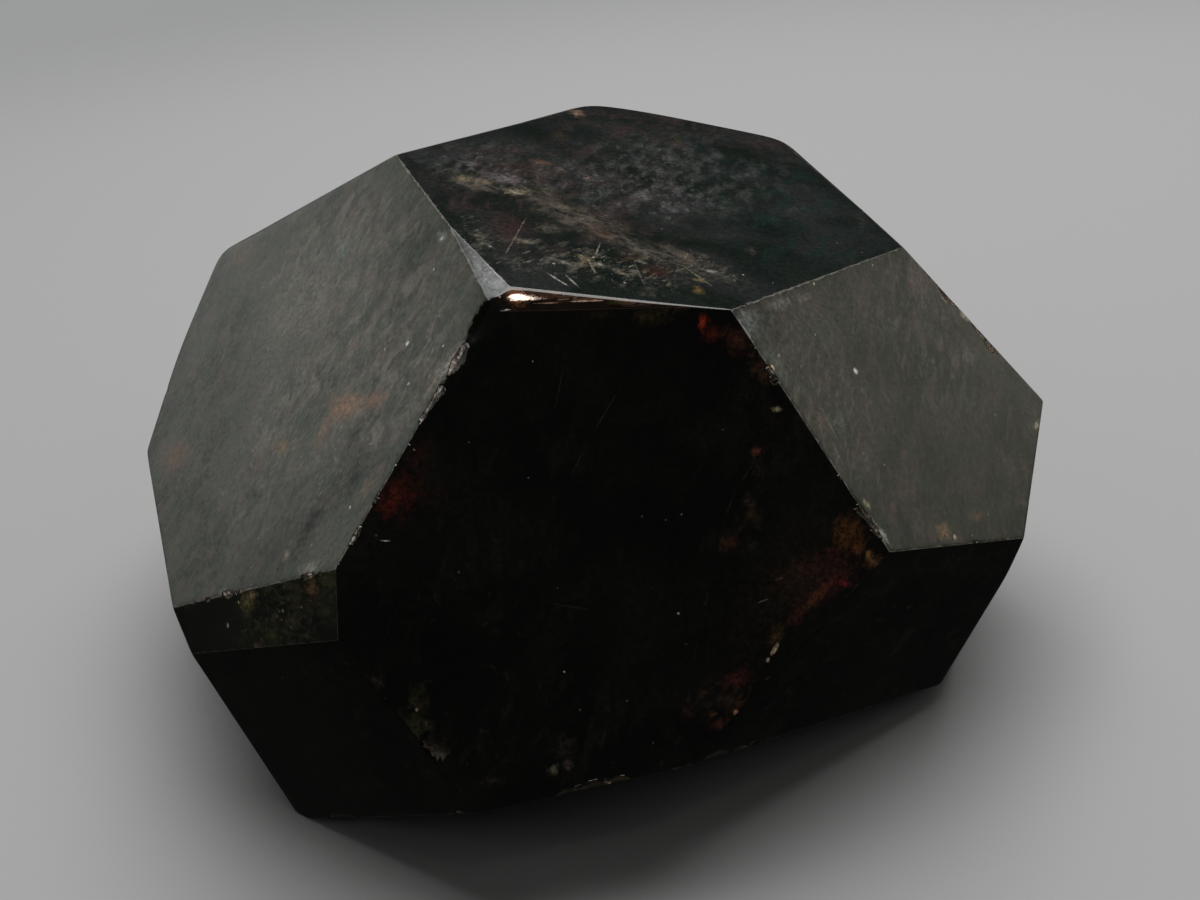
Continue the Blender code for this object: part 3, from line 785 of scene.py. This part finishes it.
rightLook = {
    "face": "rightShoulder",
    "up": (0, 0, 1),
    "middle": (18.57, -11.33, 19.45),
    "ground": ((0.026, 0.028, 0.019), (0.060, 0.057, 0.042)),
    "mist": (0.62, 1.45),
    "layers": [
        {"turn": 40, "size": (3.0, 1.4), "cut": (0.46, 0.66), "colour": (0.090, 0.066, 0.052),
         "strength": 0.9},
        {"turn": 40, "size": (2.0, 0.9), "cut": (0.50, 0.68), "colour": (0.036, 0.062, 0.030),
         "strength": 0.8},
        {"turn": 35, "size": (1.2, 0.45), "cut": (0.46, 0.70), "colour": (0.130, 0.122, 0.098),
         "strength": 0.9, "within": [(4, 3, 7, 8, 0, 0.8), (-7, 4, 5, 7, 0, 1.0)]},
        {"turn": 30, "size": (0.5, 0.2), "cut": (0.56, 0.72), "colour": (0.200, 0.185, 0.140),
         "strength": 0.8, "within": [(-7, 5, 4, 7, 0, 1.0), (5, 2, 5, 5, 0, 0.6),
                                     (-3, -6, 6, 2, 0, 0.5)]},
    ],
    "weave": (40, 0.7, 0.35),
    "patches": [
        (-4.0, 6.6, 8.5, 3.6, -14, 0.40, (0.130, 0.128, 0.104)),
        (0.5, -4.6, 8.5, 4.0, 0, 0.45, (0.022, 0.024, 0.016)),
        (5.8, 5.0, 1.6, 1.1, 30, 0.75, (0.194, 0.125, 0.110)),
        (-4.3, -5.8, 1.0, 0.6, -15, 0.95, (0.338, 0.213, 0.100)),
        (-1.0, -6.8, 1.0, 0.5, -20, 0.70, (0.188, 0.100, 0.056)),
        (-8.9, -2.9, 0.32, 1.3, 14, 0.95, (0.750, 0.762, 0.700)),
        (-8.6, -1.6, 0.25, 0.4, 0, 0.90, (0.562, 0.475, 0.275)),
        (-7.0, 2.2, 0.9, 0.7, 30, 0.70, (0.163, 0.181, 0.156)),
        (-8.2, 2.8, 0.8, 0.9, 0, 0.70, (0.175, 0.119, 0.075)),
        (-6.2, 8.7, 1.3, 0.4, -10, 0.80, (0.325, 0.319, 0.288)),
        (-9.0, 9.0, 1.1, 1.1, 0, 0.90, (0.250, 0.275, 0.263)),
        (-8.9, 6.6, 0.9, 1.6, 0, 0.60, (0.175, 0.188, 0.169)),
        (-4.2, 8.2, 0.8, 0.35, -10, 0.75, (0.275, 0.225, 0.188)),
        (6.8, -0.4, 1.2, 0.8, 0, 0.75, (0.200, 0.188, 0.169)),
        (1.8, 3.9, 1.0, 0.4, 0, 0.55, (0.150, 0.163, 0.106)),
        (-2.0, -2.0, 2.4, 1.6, 30, 0.55, (0.010, 0.013, 0.009)),
        (2.4, -6.8, 2.6, 1.4, -15, 0.60, (0.010, 0.013, 0.010)),
        (7.8, 2.9, 0.9, 0.35, -50, 0.95, (0.775, 0.562, 0.375)),
        (8.5, 1.4, 0.7, 0.35, -50, 0.90, (0.650, 0.475, 0.375)),
        (9.3, -6.5, 0.7, 0.3, 0, 0.90, (0.688, 0.600, 0.450)),
        (3.6, -8.6, 0.9, 0.4, -30, 0.60, (0.188, 0.112, 0.075)),
    ],
    "strokes": [
        (-7.3, 4.0, -6.2, 4.8, 0.06, 0.8, (0.16, 0.15, 0.12)),
        (-8.0, 1.0, -7.6, 4.0, 0.07, 0.7, (0.20, 0.20, 0.17)),
        (-8.6, 0.4, -8.3, 2.4, 0.06, 0.7, (0.24, 0.24, 0.20)),
        (-2.4, 5.0, -0.6, 6.2, 0.06, 0.6, (0.12, 0.12, 0.09)),
        (3.0, -2.2, 4.4, -1.2, 0.06, 0.6, (0.12, 0.11, 0.09)),
        (-9.6, 9.6, -9.5, 7.9, 0.07, 0.9, (0.60, 0.60, 0.56)),
    ],
    "dots": [(-3.64, 3.58, 0.22, (1.0, 0.98, 0.88)), (-3.7, -6.5, 0.20, (0.75, 0.62, 0.42)),
             (-9.3, 6.55, 0.20, (0.90, 0.62, 0.40)), (-2.8, 8.42, 0.10, (0.55, 0.50, 0.44)),
             (2.85, 7.2, 0.09, (0.50, 0.46, 0.36)), (-5.7, -0.95, 0.08, (0.30, 0.30, 0.18)),
             (-8.4, 6.8, 0.10, (0.40, 0.36, 0.28)), (-5.0, 6.4, 0.07, (0.40, 0.38, 0.32)),
             (0.8, 1.0, 0.06, (0.35, 0.34, 0.28)), (5.9, -4.0, 0.07, (0.35, 0.32, 0.26))],
    "rubAndHighlight": (0.18, 0.6, (0.34, 0.33, 0.29)),
    "broken": ((0.020, 0.014, 0.010), (0.26, 0.15, 0.09), (0.90, 0.84, 0.74), 0.54,
               (0.004, 0.0038, 0.003)),
    "grind": {"turn": 40, "size": (0.5, 0.25), "roughness": (0.26, 0.40),
              "streakDepth": 0.0015, "grainDepth": 0.009, "grainScale": 4.0},
    "specks": 0.5,
}

bandLook = {
    "face": "leftBand",
    "up": (0, 0, 1),
    "middle": (-16.63, -18.39, 15.08),
    "ground": ((0.006, 0.008, 0.005), (0.020, 0.021, 0.012)),
    "layers": [
        {"turn": 25, "size": (1.2, 0.6), "cut": (0.46, 0.66), "colour": (0.060, 0.056, 0.030),
         "strength": 0.8, "within": [(2.5, 1.5, 6, 3, 26, 1.0)]},
        {"turn": 25, "size": (0.4, 0.25), "cut": (0.54, 0.70), "colour": (0.120, 0.105, 0.050),
         "strength": 0.7, "within": [(1.5, 1.2, 5, 2.4, 26, 1.0)]},
    ],
    "weave": (25, 0.5, 0.35),
    "patches": [
        (4.6, 3.4, 0.9, 0.7, 20, 0.90, (0.20, 0.115, 0.055)),
        (5.6, 4.3, 1.0, 0.6, 20, 0.80, (0.075, 0.080, 0.026)),
        (3.2, 2.4, 0.8, 0.5, 20, 0.70, (0.065, 0.066, 0.022)),
        (-0.8, 0.5, 1.1, 0.7, 30, 0.95, (0.20, 0.175, 0.060)),
        (-0.4, 1.1, 0.7, 0.3, 30, 0.90, (0.36, 0.26, 0.11)),
        (1.6, -0.2, 1.0, 0.7, 20, 0.80, (0.065, 0.058, 0.024)),
        (0.5, -1.4, 0.5, 0.35, 20, 0.90, (0.22, 0.12, 0.080)),
        (-4.5, -2.8, 2.6, 1.3, 20, 0.85, (0.008, 0.010, 0.007)),
    ],
    "dots": [(-2.4, -1.4, 0.16, (0.45, 0.42, 0.36)), (2.4, 1.4, 0.10, (0.3, 0.26, 0.14)),
             (-1.6, 0.2, 0.10, (0.6, 0.5, 0.25)), (3.9, 2.2, 0.08, (0.35, 0.2, 0.12))],
    "rubAndHighlight": (0.14, 0.4, (0.12, 0.115, 0.09)),
    "broken": ((0.008, 0.006, 0.004), (0.16, 0.11, 0.045), (0.70, 0.60, 0.42), 0.56,
               (0.004, 0.0038, 0.003)),
    "grind": {"turn": 20, "size": (2.0, 0.30), "roughness": (0.14, 0.26),
              "streakDepth": 0.003, "grainDepth": 0.003},
    "specks": 0.4,
}

skirtLook = {
    "ground": ((0.0010, 0.0014, 0.0009), (0.0050, 0.0052, 0.0034)),
    "gloss": 0.22,
    "mist": (0.5, 1.6),
    "layers": [
        {"turn": 15, "size": (2.4, 1.2), "cut": (0.48, 0.72), "colour": (0.013, 0.013, 0.009),
         "strength": 0.8},
        {"turn": 15, "size": (0.7, 0.4), "cut": (0.60, 0.74), "colour": (0.040, 0.034, 0.022),
         "strength": 0.7},
    ],
    "rubAndHighlight": (0.06, 0.25, (0.06, 0.055, 0.045)),
    "broken": ((0.008, 0.006, 0.004), (0.080, 0.055, 0.030), (0.60, 0.52, 0.40), 0.58,
               (0.004, 0.0038, 0.003)),
    "grind": {"turn": 10, "size": (3.0, 0.25), "roughness": (0.10, 0.20),
              "streakDepth": 0.0025, "grainDepth": 0.002},
    "specks": 0.2,
}

ridgeLook = {
    "face": "ridgeBevel",
    "up": (0, 0, 1),
    "middle": (-0.52, -15.87, 29.19),
    "ground": ((0.006, 0.004, 0.003), (0.030, 0.018, 0.011)),
    "layers": [
        {"turn": -8, "size": (1.2, 0.25), "cut": (0.40, 0.60), "colour": (0.150, 0.080, 0.048),
         "strength": 0.9, "within": [(1.2, 0.22, 3.4, 0.42, -13, 1.0), (5.0, -0.9, 2.0, 0.3, -12, 1.0)]},
        {"turn": -6, "size": (0.5, 0.14), "cut": (0.52, 0.66), "colour": (0.46, 0.27, 0.17),
         "strength": 0.8, "within": [(0.6, 0.24, 2.8, 0.36, -13, 1.0)]},
        {"turn": 0, "size": (0.4, 0.25), "cut": (0.56, 0.66), "colour": (0.10, 0.085, 0.06),
         "strength": 0.7, "within": [(-2.3, 0.0, 1.2, 0.8, 0, 1.0)]},
    ],
    "weave": (0, 0.30, 0.16),
    "patches": [
        # painted glint: orange fringe round the lamp's reflection at the ridge's left end
        (-1.05, 0.48, 0.60, 0.65, 0, 0.80, (0.50, 0.20, 0.09)),
        (3.6, -0.70, 1.0, 0.14, -7, 0.80, (0.060, 0.062, 0.014)),
    ],
    "strokes": [
        # painted glints: thin bright orange lines of reflection along the lower rim
        (1.1, -0.20, 2.9, -0.47, 0.05, 1.0, (1.0, 0.62, 0.46)),
        (-0.5, 0.02, 0.9, -0.20, 0.04, 0.8, (0.50, 0.30, 0.20)),
    ],
    "dots": [(-2.3, 0.3, 0.06, (0.5, 0.45, 0.4)), (-1.9, 0.0, 0.05, (0.5, 0.45, 0.4)),
             (-2.7, -0.2, 0.05, (0.4, 0.36, 0.3)), (-1.8, 0.6, 0.06, (0.6, 0.55, 0.5))],
    "rubAndHighlight": (0.03, 0.2, (0.30, 0.20, 0.15)),
    "grind": {"turn": 0, "size": (1.4, 0.25), "roughness": (0.018, 0.040),
              "streakDepth": 0.0006, "grainDepth": 0.0008, "grainScale": 3.0},
    "specks": 0.2,
}

frostLook = {
    "face": "cornerBevel",
    "up": (0, 0, 1),
    "middle": (-3.26, -13.15, 30.16),
    "ground": ((0.030, 0.032, 0.033), (0.120, 0.124, 0.128)),
    "layers": [
        {"turn": -18, "size": (0.6, 0.3), "cut": (0.34, 0.50), "colour": (0.215, 0.225, 0.230),
         "strength": 0.95, "within": [(0.9, -0.45, 3.0, 1.0, -20, 1.0)]},
        {"turn": 0, "size": (0.25, 0.16), "cut": (0.54, 0.66), "colour": (0.50, 0.51, 0.52),
         "strength": 0.8, "within": [(0.6, -0.3, 3.2, 1.0, -20, 1.0)]},
    ],
    "weave": (-18, 0.35, 0.16),
    "patches": [
        (-3.4, 1.30, 2.4, 0.60, -18, 0.95, (0.030, 0.032, 0.032)),
        (-1.4, 0.25, 1.5, 0.50, -20, 0.80, (0.075, 0.080, 0.080)),
        (1.9, -0.62, 0.6, 0.5, 0, 0.60, (0.50, 0.52, 0.54)),
    ],
    "strokes": [
        (-4.6, 2.02, -1.0, 0.74, 0.05, 0.8, (0.30, 0.26, 0.22)),
        (-1.0, 0.74, 2.5, -0.46, 0.05, 0.9, (0.80, 0.80, 0.82)),
    ],
    "rubAndHighlight": (0.06, 0.6, (0.55, 0.56, 0.57)),
    "grind": {"turn": 0, "size": (0.5, 0.4), "roughness": (0.40, 0.60),
              "streakDepth": 0.015, "grainDepth": 0.015},
    "specks": 0.5,
}

farLook = {
    "ground": ((0.006, 0.008, 0.007), (0.022, 0.022, 0.018)),
    "layers": [
        {"turn": 30, "size": (4.0, 1.4), "cut": (0.46, 0.68), "colour": (0.046, 0.042, 0.034),
         "strength": 0.8},
        {"turn": -30, "size": (2.4, 1.0), "cut": (0.56, 0.72), "colour": (0.080, 0.030, 0.020),
         "strength": 0.8},
        {"turn": 30, "size": (1.4, 0.6), "cut": (0.54, 0.74), "colour": (0.090, 0.088, 0.070),
         "strength": 0.8},
        {"turn": 30, "size": (0.5, 0.2), "cut": (0.62, 0.74), "colour": (0.26, 0.24, 0.19),
         "strength": 0.8},
    ],
    "rubAndHighlight": (0.26, 0.5, (0.20, 0.185, 0.16)),
    "grind": {"turn": 25, "size": (1.6, 0.30), "roughness": (0.20, 0.34),
              "streakDepth": 0.004, "grainDepth": 0.005},
    "specks": 0.5,
}


def put(tree, kind, sockets=(), **settings):
    # one node: its settings, then its sockets, each joined to another or given a value
    made = tree.nodes.new(kind)
    for name, value in settings.items():
        setattr(made, name, value)
    for key, value in dict(sockets).items():
        if isinstance(value, bpy.types.NodeSocket):
            tree.links.new(value, made.inputs[key])
        else:
            made.inputs[key].default_value = value
    return made


def reckon(tree, operation, *values):
    # one sum on the values, such as MULTIPLY_ADD for first * second + third
    return put(tree, "ShaderNodeMath", dict(enumerate(values)), operation=operation).outputs[0]


def ramp(tree, value, low, high, bottom=0.0, top=1.0):
    # a smooth step from bottom at low to top at high
    return put(tree, "ShaderNodeMapRange", {0: value, 1: low, 2: high, 3: bottom, 4: top},
               interpolation_type="SMOOTHSTEP").outputs[0]


def blend(tree, share, under, over):
    # colour over laid on colour under by share
    over = over if isinstance(over, bpy.types.NodeSocket) else (*over, 1.0)
    under = under if isinstance(under, bpy.types.NodeSocket) else (*under, 1.0)
    return put(tree, "ShaderNodeMix", {0: share, 6: under, 7: over},
               data_type="RGBA").outputs[2]


def turned(tree, flat, degrees, along, across):
    # face coordinates turned by some degrees and counted in steps of along and across
    return put(tree, "ShaderNodeMapping",
               {0: flat, 2: (0, 0, math.radians(degrees)), 3: (along, across, across)},
               vector_type="TEXTURE").outputs[0]


def noise(tree, where, scale=1.0, detail=4.0, rough=0.55, bend=0.0):
    # cloudy noise between 0 and 1, about 0.5 in the middle, in waves of 1 / scale mm
    return put(tree, "ShaderNodeTexNoise",
               {"Vector": where, "Scale": scale, "Detail": detail, "Roughness": rough,
                "Distortion": bend}).outputs[0]


def oval(tree, flat, mottle, place, reach, degrees=0.0, strength=1.0, soft=0.62):
    # distance from the middle counted in half widths, taken from the mottle, which
    # wavers about 1: full inside, ragged at the rim, nothing beyond it. The ball
    # gradient is 1 less that distance over 2, so the mottle comes 2 lower
    local = put(tree, "ShaderNodeMapping",
                {0: flat, 1: (*place, 0.0), 2: (0, 0, math.radians(degrees)),
                 3: (2 * reach[0], 2 * reach[1], garnet["ovalDepth"])},
                vector_type="TEXTURE").outputs[0]
    ball = put(tree, "ShaderNodeTexGradient", {0: local}, gradient_type="SPHERICAL").outputs[1]
    return ramp(tree, reckon(tree, "MULTIPLY_ADD", ball, 2.0, mottle), low=0.0, high=soft,
                top=strength)


def facePlace(cut, look):
    # the face's own frame: across it, up it and out of it
    normal = cut["normals"][cut["names"].index(look["face"])]
    across = unit(np.cross(np.array(look["up"], float), normal))
    turn = Matrix(np.stack([across, np.cross(normal, across), normal], axis=1).tolist())
    return [c * mm for c in look["middle"]], turn.to_euler()


def layColour(tree, flat, look):
    # ground colour, then every layer of noise over it, kept to its ovals by the product
    # of the layer's own mask and the largest of theirs
    cloud = noise(tree, flat, scale=0.16, detail=6.0, rough=0.6, bend=0.4)
    colour = blend(tree, ramp(tree, cloud, low=0.35, high=0.68), *look["ground"])
    waver = reckon(tree, "MULTIPLY_ADD", noise(tree, flat, scale=0.35), *garnet["layerWaver"])
    for layer in look["layers"]:
        field = noise(tree, turned(tree, flat, layer["turn"], *layer["size"]), detail=7.0,
                      rough=0.62, bend=layer.get("bend", 0.7))
        mask = ramp(tree, field, *layer["cut"], top=layer["strength"])
        area = None
        for u, v, wide, high, degrees, strength in layer.get("within", ()):
            part = oval(tree, flat, waver, (u, v), (wide, high), degrees, strength)
            area = part if area is None else reckon(tree, "MAXIMUM", area, part)
        if area is not None:
            mask = reckon(tree, "MULTIPLY", mask, area)
        colour = blend(tree, mask, colour, layer["colour"])
    return colour


def layMarks(tree, flat, look, colour):
    # soft patches grained by fine noise, then strokes and dots with crisper rims
    weave = noise(tree, turned(tree, flat, *look.get("weave", (0, 0.6, 0.6))), detail=7.0,
                  rough=0.72, bend=0.6)
    mottle = reckon(tree, "MULTIPLY_ADD", weave, *garnet["markWaver"])
    fine = noise(tree, flat, garnet["fineScale"], detail=6.0, rough=0.8, bend=0.3)
    body = ramp(tree, fine, low=0.38, high=0.60, bottom=0.42)
    for u, v, wide, high, degrees, strength, tint in look.get("patches", ()):
        mask = oval(tree, flat, mottle, (u, v), (wide, high), degrees, strength, soft=1.1)
        colour = blend(tree, reckon(tree, "MULTIPLY", mask, body), colour, tint)
    for u1, v1, u2, v2, width, strength, tint in look.get("strokes", ()):
        centre = ((u1 + u2) / 2, (v1 + v2) / 2)
        reach = (math.hypot(u2 - u1, v2 - v1) / 2, width)
        lean = math.degrees(math.atan2(v2 - v1, u2 - u1))
        mask = oval(tree, flat, mottle, centre, reach, lean, strength)
        colour = blend(tree, reckon(tree, "MULTIPLY", mask, body), colour, tint)
    for u, v, radius, tint in look.get("dots", ()):
        colour = blend(tree, oval(tree, flat, mottle, (u, v), (radius, radius)), colour, tint)
    dimmest, brightest = look.get("mist", (0.75, 1.3))
    grained = ramp(tree, fine, low=0.32, high=0.66, bottom=dimmest, top=brightest)
    colour = put(tree, "ShaderNodeHueSaturation", {"Value": grained, "Color": colour}).outputs[0]

    # specks: small cells, only the rare ones showing
    cells = put(tree, "ShaderNodeTexVoronoi", {"Vector": flat, "Scale": garnet["speckScale"]})
    draw = put(tree, "ShaderNodeSeparateColor", {0: cells.outputs["Color"]}).outputs[0]
    bead = ramp(tree, cells.outputs["Distance"], *garnet["speckSize"], bottom=1.0, top=0.0)
    rare = ramp(tree, draw, *garnet["rareSpecks"], top=look["specks"])
    return blend(tree, reckon(tree, "MULTIPLY", bead, rare), colour, garnet["speckColour"])


def wornEdge(tree, flat, look):
    # share of wear and of painted edge highlight: full where the distance to the edge is under half
    # of a width that the noise opens and closes, none past 1.2 of it
    width, strength, tint = look["rubAndHighlight"]
    rim = put(tree, "ShaderNodeAttribute", attribute_name="rim").outputs["Fac"]
    opening = noise(tree, flat, scale=1.6, detail=6.0, rough=0.7)
    reach = ramp(tree, opening, low=0.42, high=0.72, bottom=0.012, top=width)
    return ramp(tree, reckon(tree, "DIVIDE", rim, reach), low=0.5, high=1.2,
                bottom=strength, top=0.0)


def layBreaks(tree, flat, look, colour):
    # broken places: crumbly where the attribute is 1, glassy where it is a half
    dark, warm, pale, paleFrom, glass = look.get("broken", farBreaks)
    broken = put(tree, "ShaderNodeAttribute", attribute_name="broken").outputs["Fac"]
    crumbly = ramp(tree, broken, low=0.60, high=0.95)
    glassy = ramp(tree, broken, low=0.15, high=0.45)
    grains = noise(tree, flat, scale=2.6, detail=7.0, rough=0.75, bend=0.6)
    inside = blend(tree, ramp(tree, grains, low=0.42, high=0.56), dark, warm)
    inside = blend(tree, ramp(tree, grains, low=paleFrom, high=paleFrom + 0.08), inside, pale)
    colour = blend(tree, glassy, colour, glass)
    return blend(tree, crumbly, colour, inside), crumbly, glassy, grains


def layPolish(tree, flat, look, shader, edge, crumbly, glassy, grains):
    # roughness = streaks + worn edge, one steady value in a glassy break, more in a
    # crumbly one; height = grain + streaks + grains of the break, each times its depth
    grind = look["grind"]
    streak = noise(tree, turned(tree, flat, grind["turn"], *grind["size"]), detail=6.0, rough=0.7)
    grain = noise(tree, flat, grind.get("grainScale", 5.0), detail=5.0, rough=0.7)
    smoothest, roughest = grind["roughness"]
    rough = ramp(tree, streak, low=0.30, high=0.72, bottom=smoothest, top=roughest)
    rough = reckon(tree, "MULTIPLY_ADD", edge, garnet["wornRough"], rough)
    rough = put(tree, "ShaderNodeMix", {0: glassy, 2: rough, 3: garnet["glassyRough"]}).outputs[0]
    rough = reckon(tree, "MULTIPLY_ADD", crumbly, garnet["crumblyRough"], rough)
    tree.links.new(rough, shader.inputs["Roughness"])
    height = reckon(tree, "MULTIPLY_ADD", grain, grind["grainDepth"],
                    reckon(tree, "MULTIPLY", streak, grind["streakDepth"]))
    height = reckon(tree, "MULTIPLY_ADD", reckon(tree, "MULTIPLY", grains, crumbly),
                    garnet["craggy"], height)
    bump = put(tree, "ShaderNodeBump", {"Strength": 1.0, "Distance": mm, "Height": height})
    tree.links.new(bump.outputs[0], shader.inputs["Normal"])


def makeFinish(cut, name, look):
    # one material: colour, marks, worn edge with painted highlight, breaks, then polish over all of it.
    # A finish with a face counts from that face's middle, another from the origin
    material = bpy.data.materials.new(name)
    material.use_nodes = True
    tree = material.node_tree
    shader = tree.nodes["Principled BSDF"]
    shader.inputs["IOR"].default_value = garnet["ior"]
    shader.inputs["Specular IOR Level"].default_value = look.get("gloss", 0.5)
    middle, turn = facePlace(cut, look) if "face" in look else ((0, 0, 0), (0, 0, 0))
    place = put(tree, "ShaderNodeTexCoord").outputs["Object"]
    flat = put(tree, "ShaderNodeMapping", {0: place, 1: middle, 2: turn, 3: (mm, mm, mm)},
               vector_type="TEXTURE").outputs[0]

    colour = layMarks(tree, flat, look, layColour(tree, flat, look))
    edge = wornEdge(tree, flat, look)
    # the worn edge's colour: real wear, and also a painted edge highlight
    colour = blend(tree, edge, colour, look["rubAndHighlight"][2])
    colour, crumbly, glassy, grains = layBreaks(tree, flat, look, colour)
    tree.links.new(colour, shader.inputs["Base Color"])
    if "haze" in look:
        # clear dark spots scatter less of the sky than the bloom around them
        depth = put(tree, "ShaderNodeRGBToBW", {0: colour}).outputs[0]
        tree.links.new(ramp(tree, depth, *look["haze"]), shader.inputs["Specular IOR Level"])
    layPolish(tree, flat, look, shader, edge, crumbly, glassy, grains)
    print("finish ready:", name)
    return material


stage = {
    "floorSize": 2.4,                      # m
    "floorColour": (0.60, 0.61, 0.62),
    "floorRoughness": 0.9,
    "floorFade": (0.15, 0.36),             # m from the middle, where it melts into the backdrop
    "backdrop": (0.328, 0.331, 0.334),     # what the camera sees past the floor
    "backdropReach": 1.5,                  # m
    "backdropGrid": (17, 33),              # rows and columns of points
    "ambient": (0.017, 0.0172, 0.0165),    # dim light from all round, also mirrored
    # place and target in mm, size in mm, radiance, colour, whether the stone mirrors it
    "panels": {
        "overhead": ((40, 120, 420), (0, 0, 10), (420, 420), 2.8, (1.0, 0.99, 0.97), True),
        "backLeft": ((-250, 235, 60), (-10, 0, 20), (260, 150), 0.36, (1.0, 1.0, 0.97), True),
        "backRight": ((300, 100, 55), (15, -5, 15), (220, 130), 0.33, (1.0, 0.99, 0.88), True),
        "glint": ((86, -213, 378), (-1.6, -15.8, 29.6), (9, 20), 26.0, (1.0, 0.80, 0.66), True),
        "frontLeft": ((-260, -210, 330), (0, 0, 15), (160, 160), 0.5, (1.0, 1.0, 1.0), False),
        "frontRight": ((280, -190, 320), (0, 0, 15), (160, 160), 0.5, (1.0, 1.0, 1.0), False),
    },
}


def makeFloor():
    # a plain square whose cover fades with the distance from the middle
    half = stage["floorSize"] / 2
    corners = [(-half, -half, 0), (half, -half, 0), (half, half, 0), (-half, half, 0)]
    mesh = bpy.data.meshes.new("floor")
    mesh.from_pydata(corners, [], [(0, 1, 2, 3)])
    ground = bpy.data.objects.new("floor", mesh)
    bpy.context.scene.collection.objects.link(ground)
    ground.visible_glossy = False
    material = bpy.data.materials.new("floor")
    material.use_nodes = True
    tree = material.node_tree
    shader = tree.nodes["Principled BSDF"]
    shader.inputs["Base Color"].default_value = (*stage["floorColour"], 1)
    shader.inputs["Roughness"].default_value = stage["floorRoughness"]
    place = put(tree, "ShaderNodeTexCoord").outputs["Object"]
    away = put(tree, "ShaderNodeVectorMath", {0: place}, operation="LENGTH").outputs["Value"]
    cover = ramp(tree, away, *stage["floorFade"], bottom=1.0, top=0.0)
    tree.links.new(cover, shader.inputs["Alpha"])
    mesh.materials.append(material)
    print("floor ready")


def makeBackdrop():
    # a pale ball round everything: it is seen, but it lights nothing and isn't mirrored.
    # A point on it is its reach times the sines and cosines of longitude and latitude
    rows, columns = stage["backdropGrid"]
    around, up = np.meshgrid(np.linspace(0, 2 * math.pi, columns),
                             np.linspace(-math.pi / 2, math.pi / 2, rows))
    ball = np.stack([np.cos(around) * np.cos(up), np.sin(around) * np.cos(up), np.sin(up)], axis=-1)
    grid = np.arange(rows * columns).reshape(rows, columns)
    quads = np.stack([grid[:-1, :-1], grid[:-1, 1:], grid[1:, 1:], grid[1:, :-1]], axis=-1)
    mesh = bpy.data.meshes.new("backdrop")
    mesh.from_pydata((ball * stage["backdropReach"]).reshape(-1, 3).tolist(), [],
                     quads.reshape(-1, 4).tolist())
    backdrop = bpy.data.objects.new("backdrop", mesh)
    bpy.context.scene.collection.objects.link(backdrop)
    backdrop.visible_diffuse = False
    backdrop.visible_glossy = False
    backdrop.visible_transmission = False
    backdrop.visible_shadow = False
    material = bpy.data.materials.new("backdrop")
    material.use_nodes = True
    shader = material.node_tree.nodes["Principled BSDF"]
    shader.inputs["Base Color"].default_value = (0, 0, 0, 1)
    shader.inputs["Specular IOR Level"].default_value = 0
    shader.inputs["Emission Color"].default_value = (*stage["backdrop"], 1)
    shader.inputs["Emission Strength"].default_value = 1
    mesh.materials.append(material)
    print("backdrop ready")


def makeLights():
    # panels of even radiance, so the energy of each is radiance * pi * its area
    for name, (place, target, size, radiance, colour, mirrored) in stage["panels"].items():
        light = bpy.data.lights.new(name, "AREA")
        light.shape = "RECTANGLE"
        light.size, light.size_y = size[0] * mm, size[1] * mm
        light.energy = radiance * math.pi * light.size * light.size_y
        light.color = colour
        lamp = bpy.data.objects.new(name, light)
        lamp.location = [c * mm for c in place]
        lamp.rotation_euler = aimAlong(np.array(target, float) - np.array(place, float))
        lamp.visible_camera = False
        lamp.visible_glossy = mirrored
        bpy.context.scene.collection.objects.link(lamp)
    world = bpy.data.worlds.new("room")
    world.use_nodes = True
    world.node_tree.nodes["Background"].inputs["Color"].default_value = (*stage["ambient"], 1)
    bpy.context.scene.world = world
    bpy.context.scene.view_settings.view_transform = "Standard"
    print("lights ready")


def aimAlong(direction):
    # the turn that points a lamp's -Z along direction, its X kept level
    x, y, z = direction
    level = math.hypot(x, y)
    return (math.atan2(level, -z), 0, math.atan2(y, x) - math.pi / 2)


view = {
    "place": (1.598, -67.027, 50.477),     # mm, in the stone's own frame
    "turn": (59.991, 5.447, -2.947),       # degrees about x, y and z
    "lens": 36.0,                          # mm
    "film": 36.0,                          # mm across
    "nearest": 0.001,                      # m, what lies nearer isn't seen
}


def makeCamera():
    # the view's place and turn, on a lens and film in mm
    lens = bpy.data.cameras.new("camera")
    lens.lens = view["lens"]
    lens.sensor_width = view["film"]
    lens.clip_start = view["nearest"]
    camera = bpy.data.objects.new("camera", lens)
    camera.location = [c * mm for c in view["place"]]
    camera.rotation_euler = [math.radians(a) for a in view["turn"]]
    bpy.context.scene.collection.objects.link(camera)
    bpy.context.scene.camera = camera
    print("camera ready")


makeCamera()
makeFloor()
makeLights()
makeBackdrop()
cut = cutStone()
print("stone cut:", len(cut["names"]), "faces,", len(cut["corners"]), "corners")
looks = {
    "top": makeFinish(cut, "garnetTop", topLook),
    "front": makeFinish(cut, "garnetFront", frontLook),
    "leftShoulder": makeFinish(cut, "garnetLeft", leftLook),
    "rightShoulder": makeFinish(cut, "garnetRight", rightLook),
    "leftBand": makeFinish(cut, "garnetBand", bandLook),
    "leftSkirt": makeFinish(cut, "garnetSkirt", skirtLook),
    "ridgeBevel": makeFinish(cut, "garnetRidge", ridgeLook),
    "cornerBevel": makeFinish(cut, "garnetFrost", frostLook),
    "other": makeFinish(cut, "garnetFar", farLook),
}
for name in ("rightSkirt", "undercut", "leftHeel", "rightEnd", "rightHeel"):
    looks[name] = looks["leftSkirt"]
crystal = makeCrystal(cut, looks)
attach(crystal, "root")
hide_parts("garnet_crystal")
print("crystal placed on root")
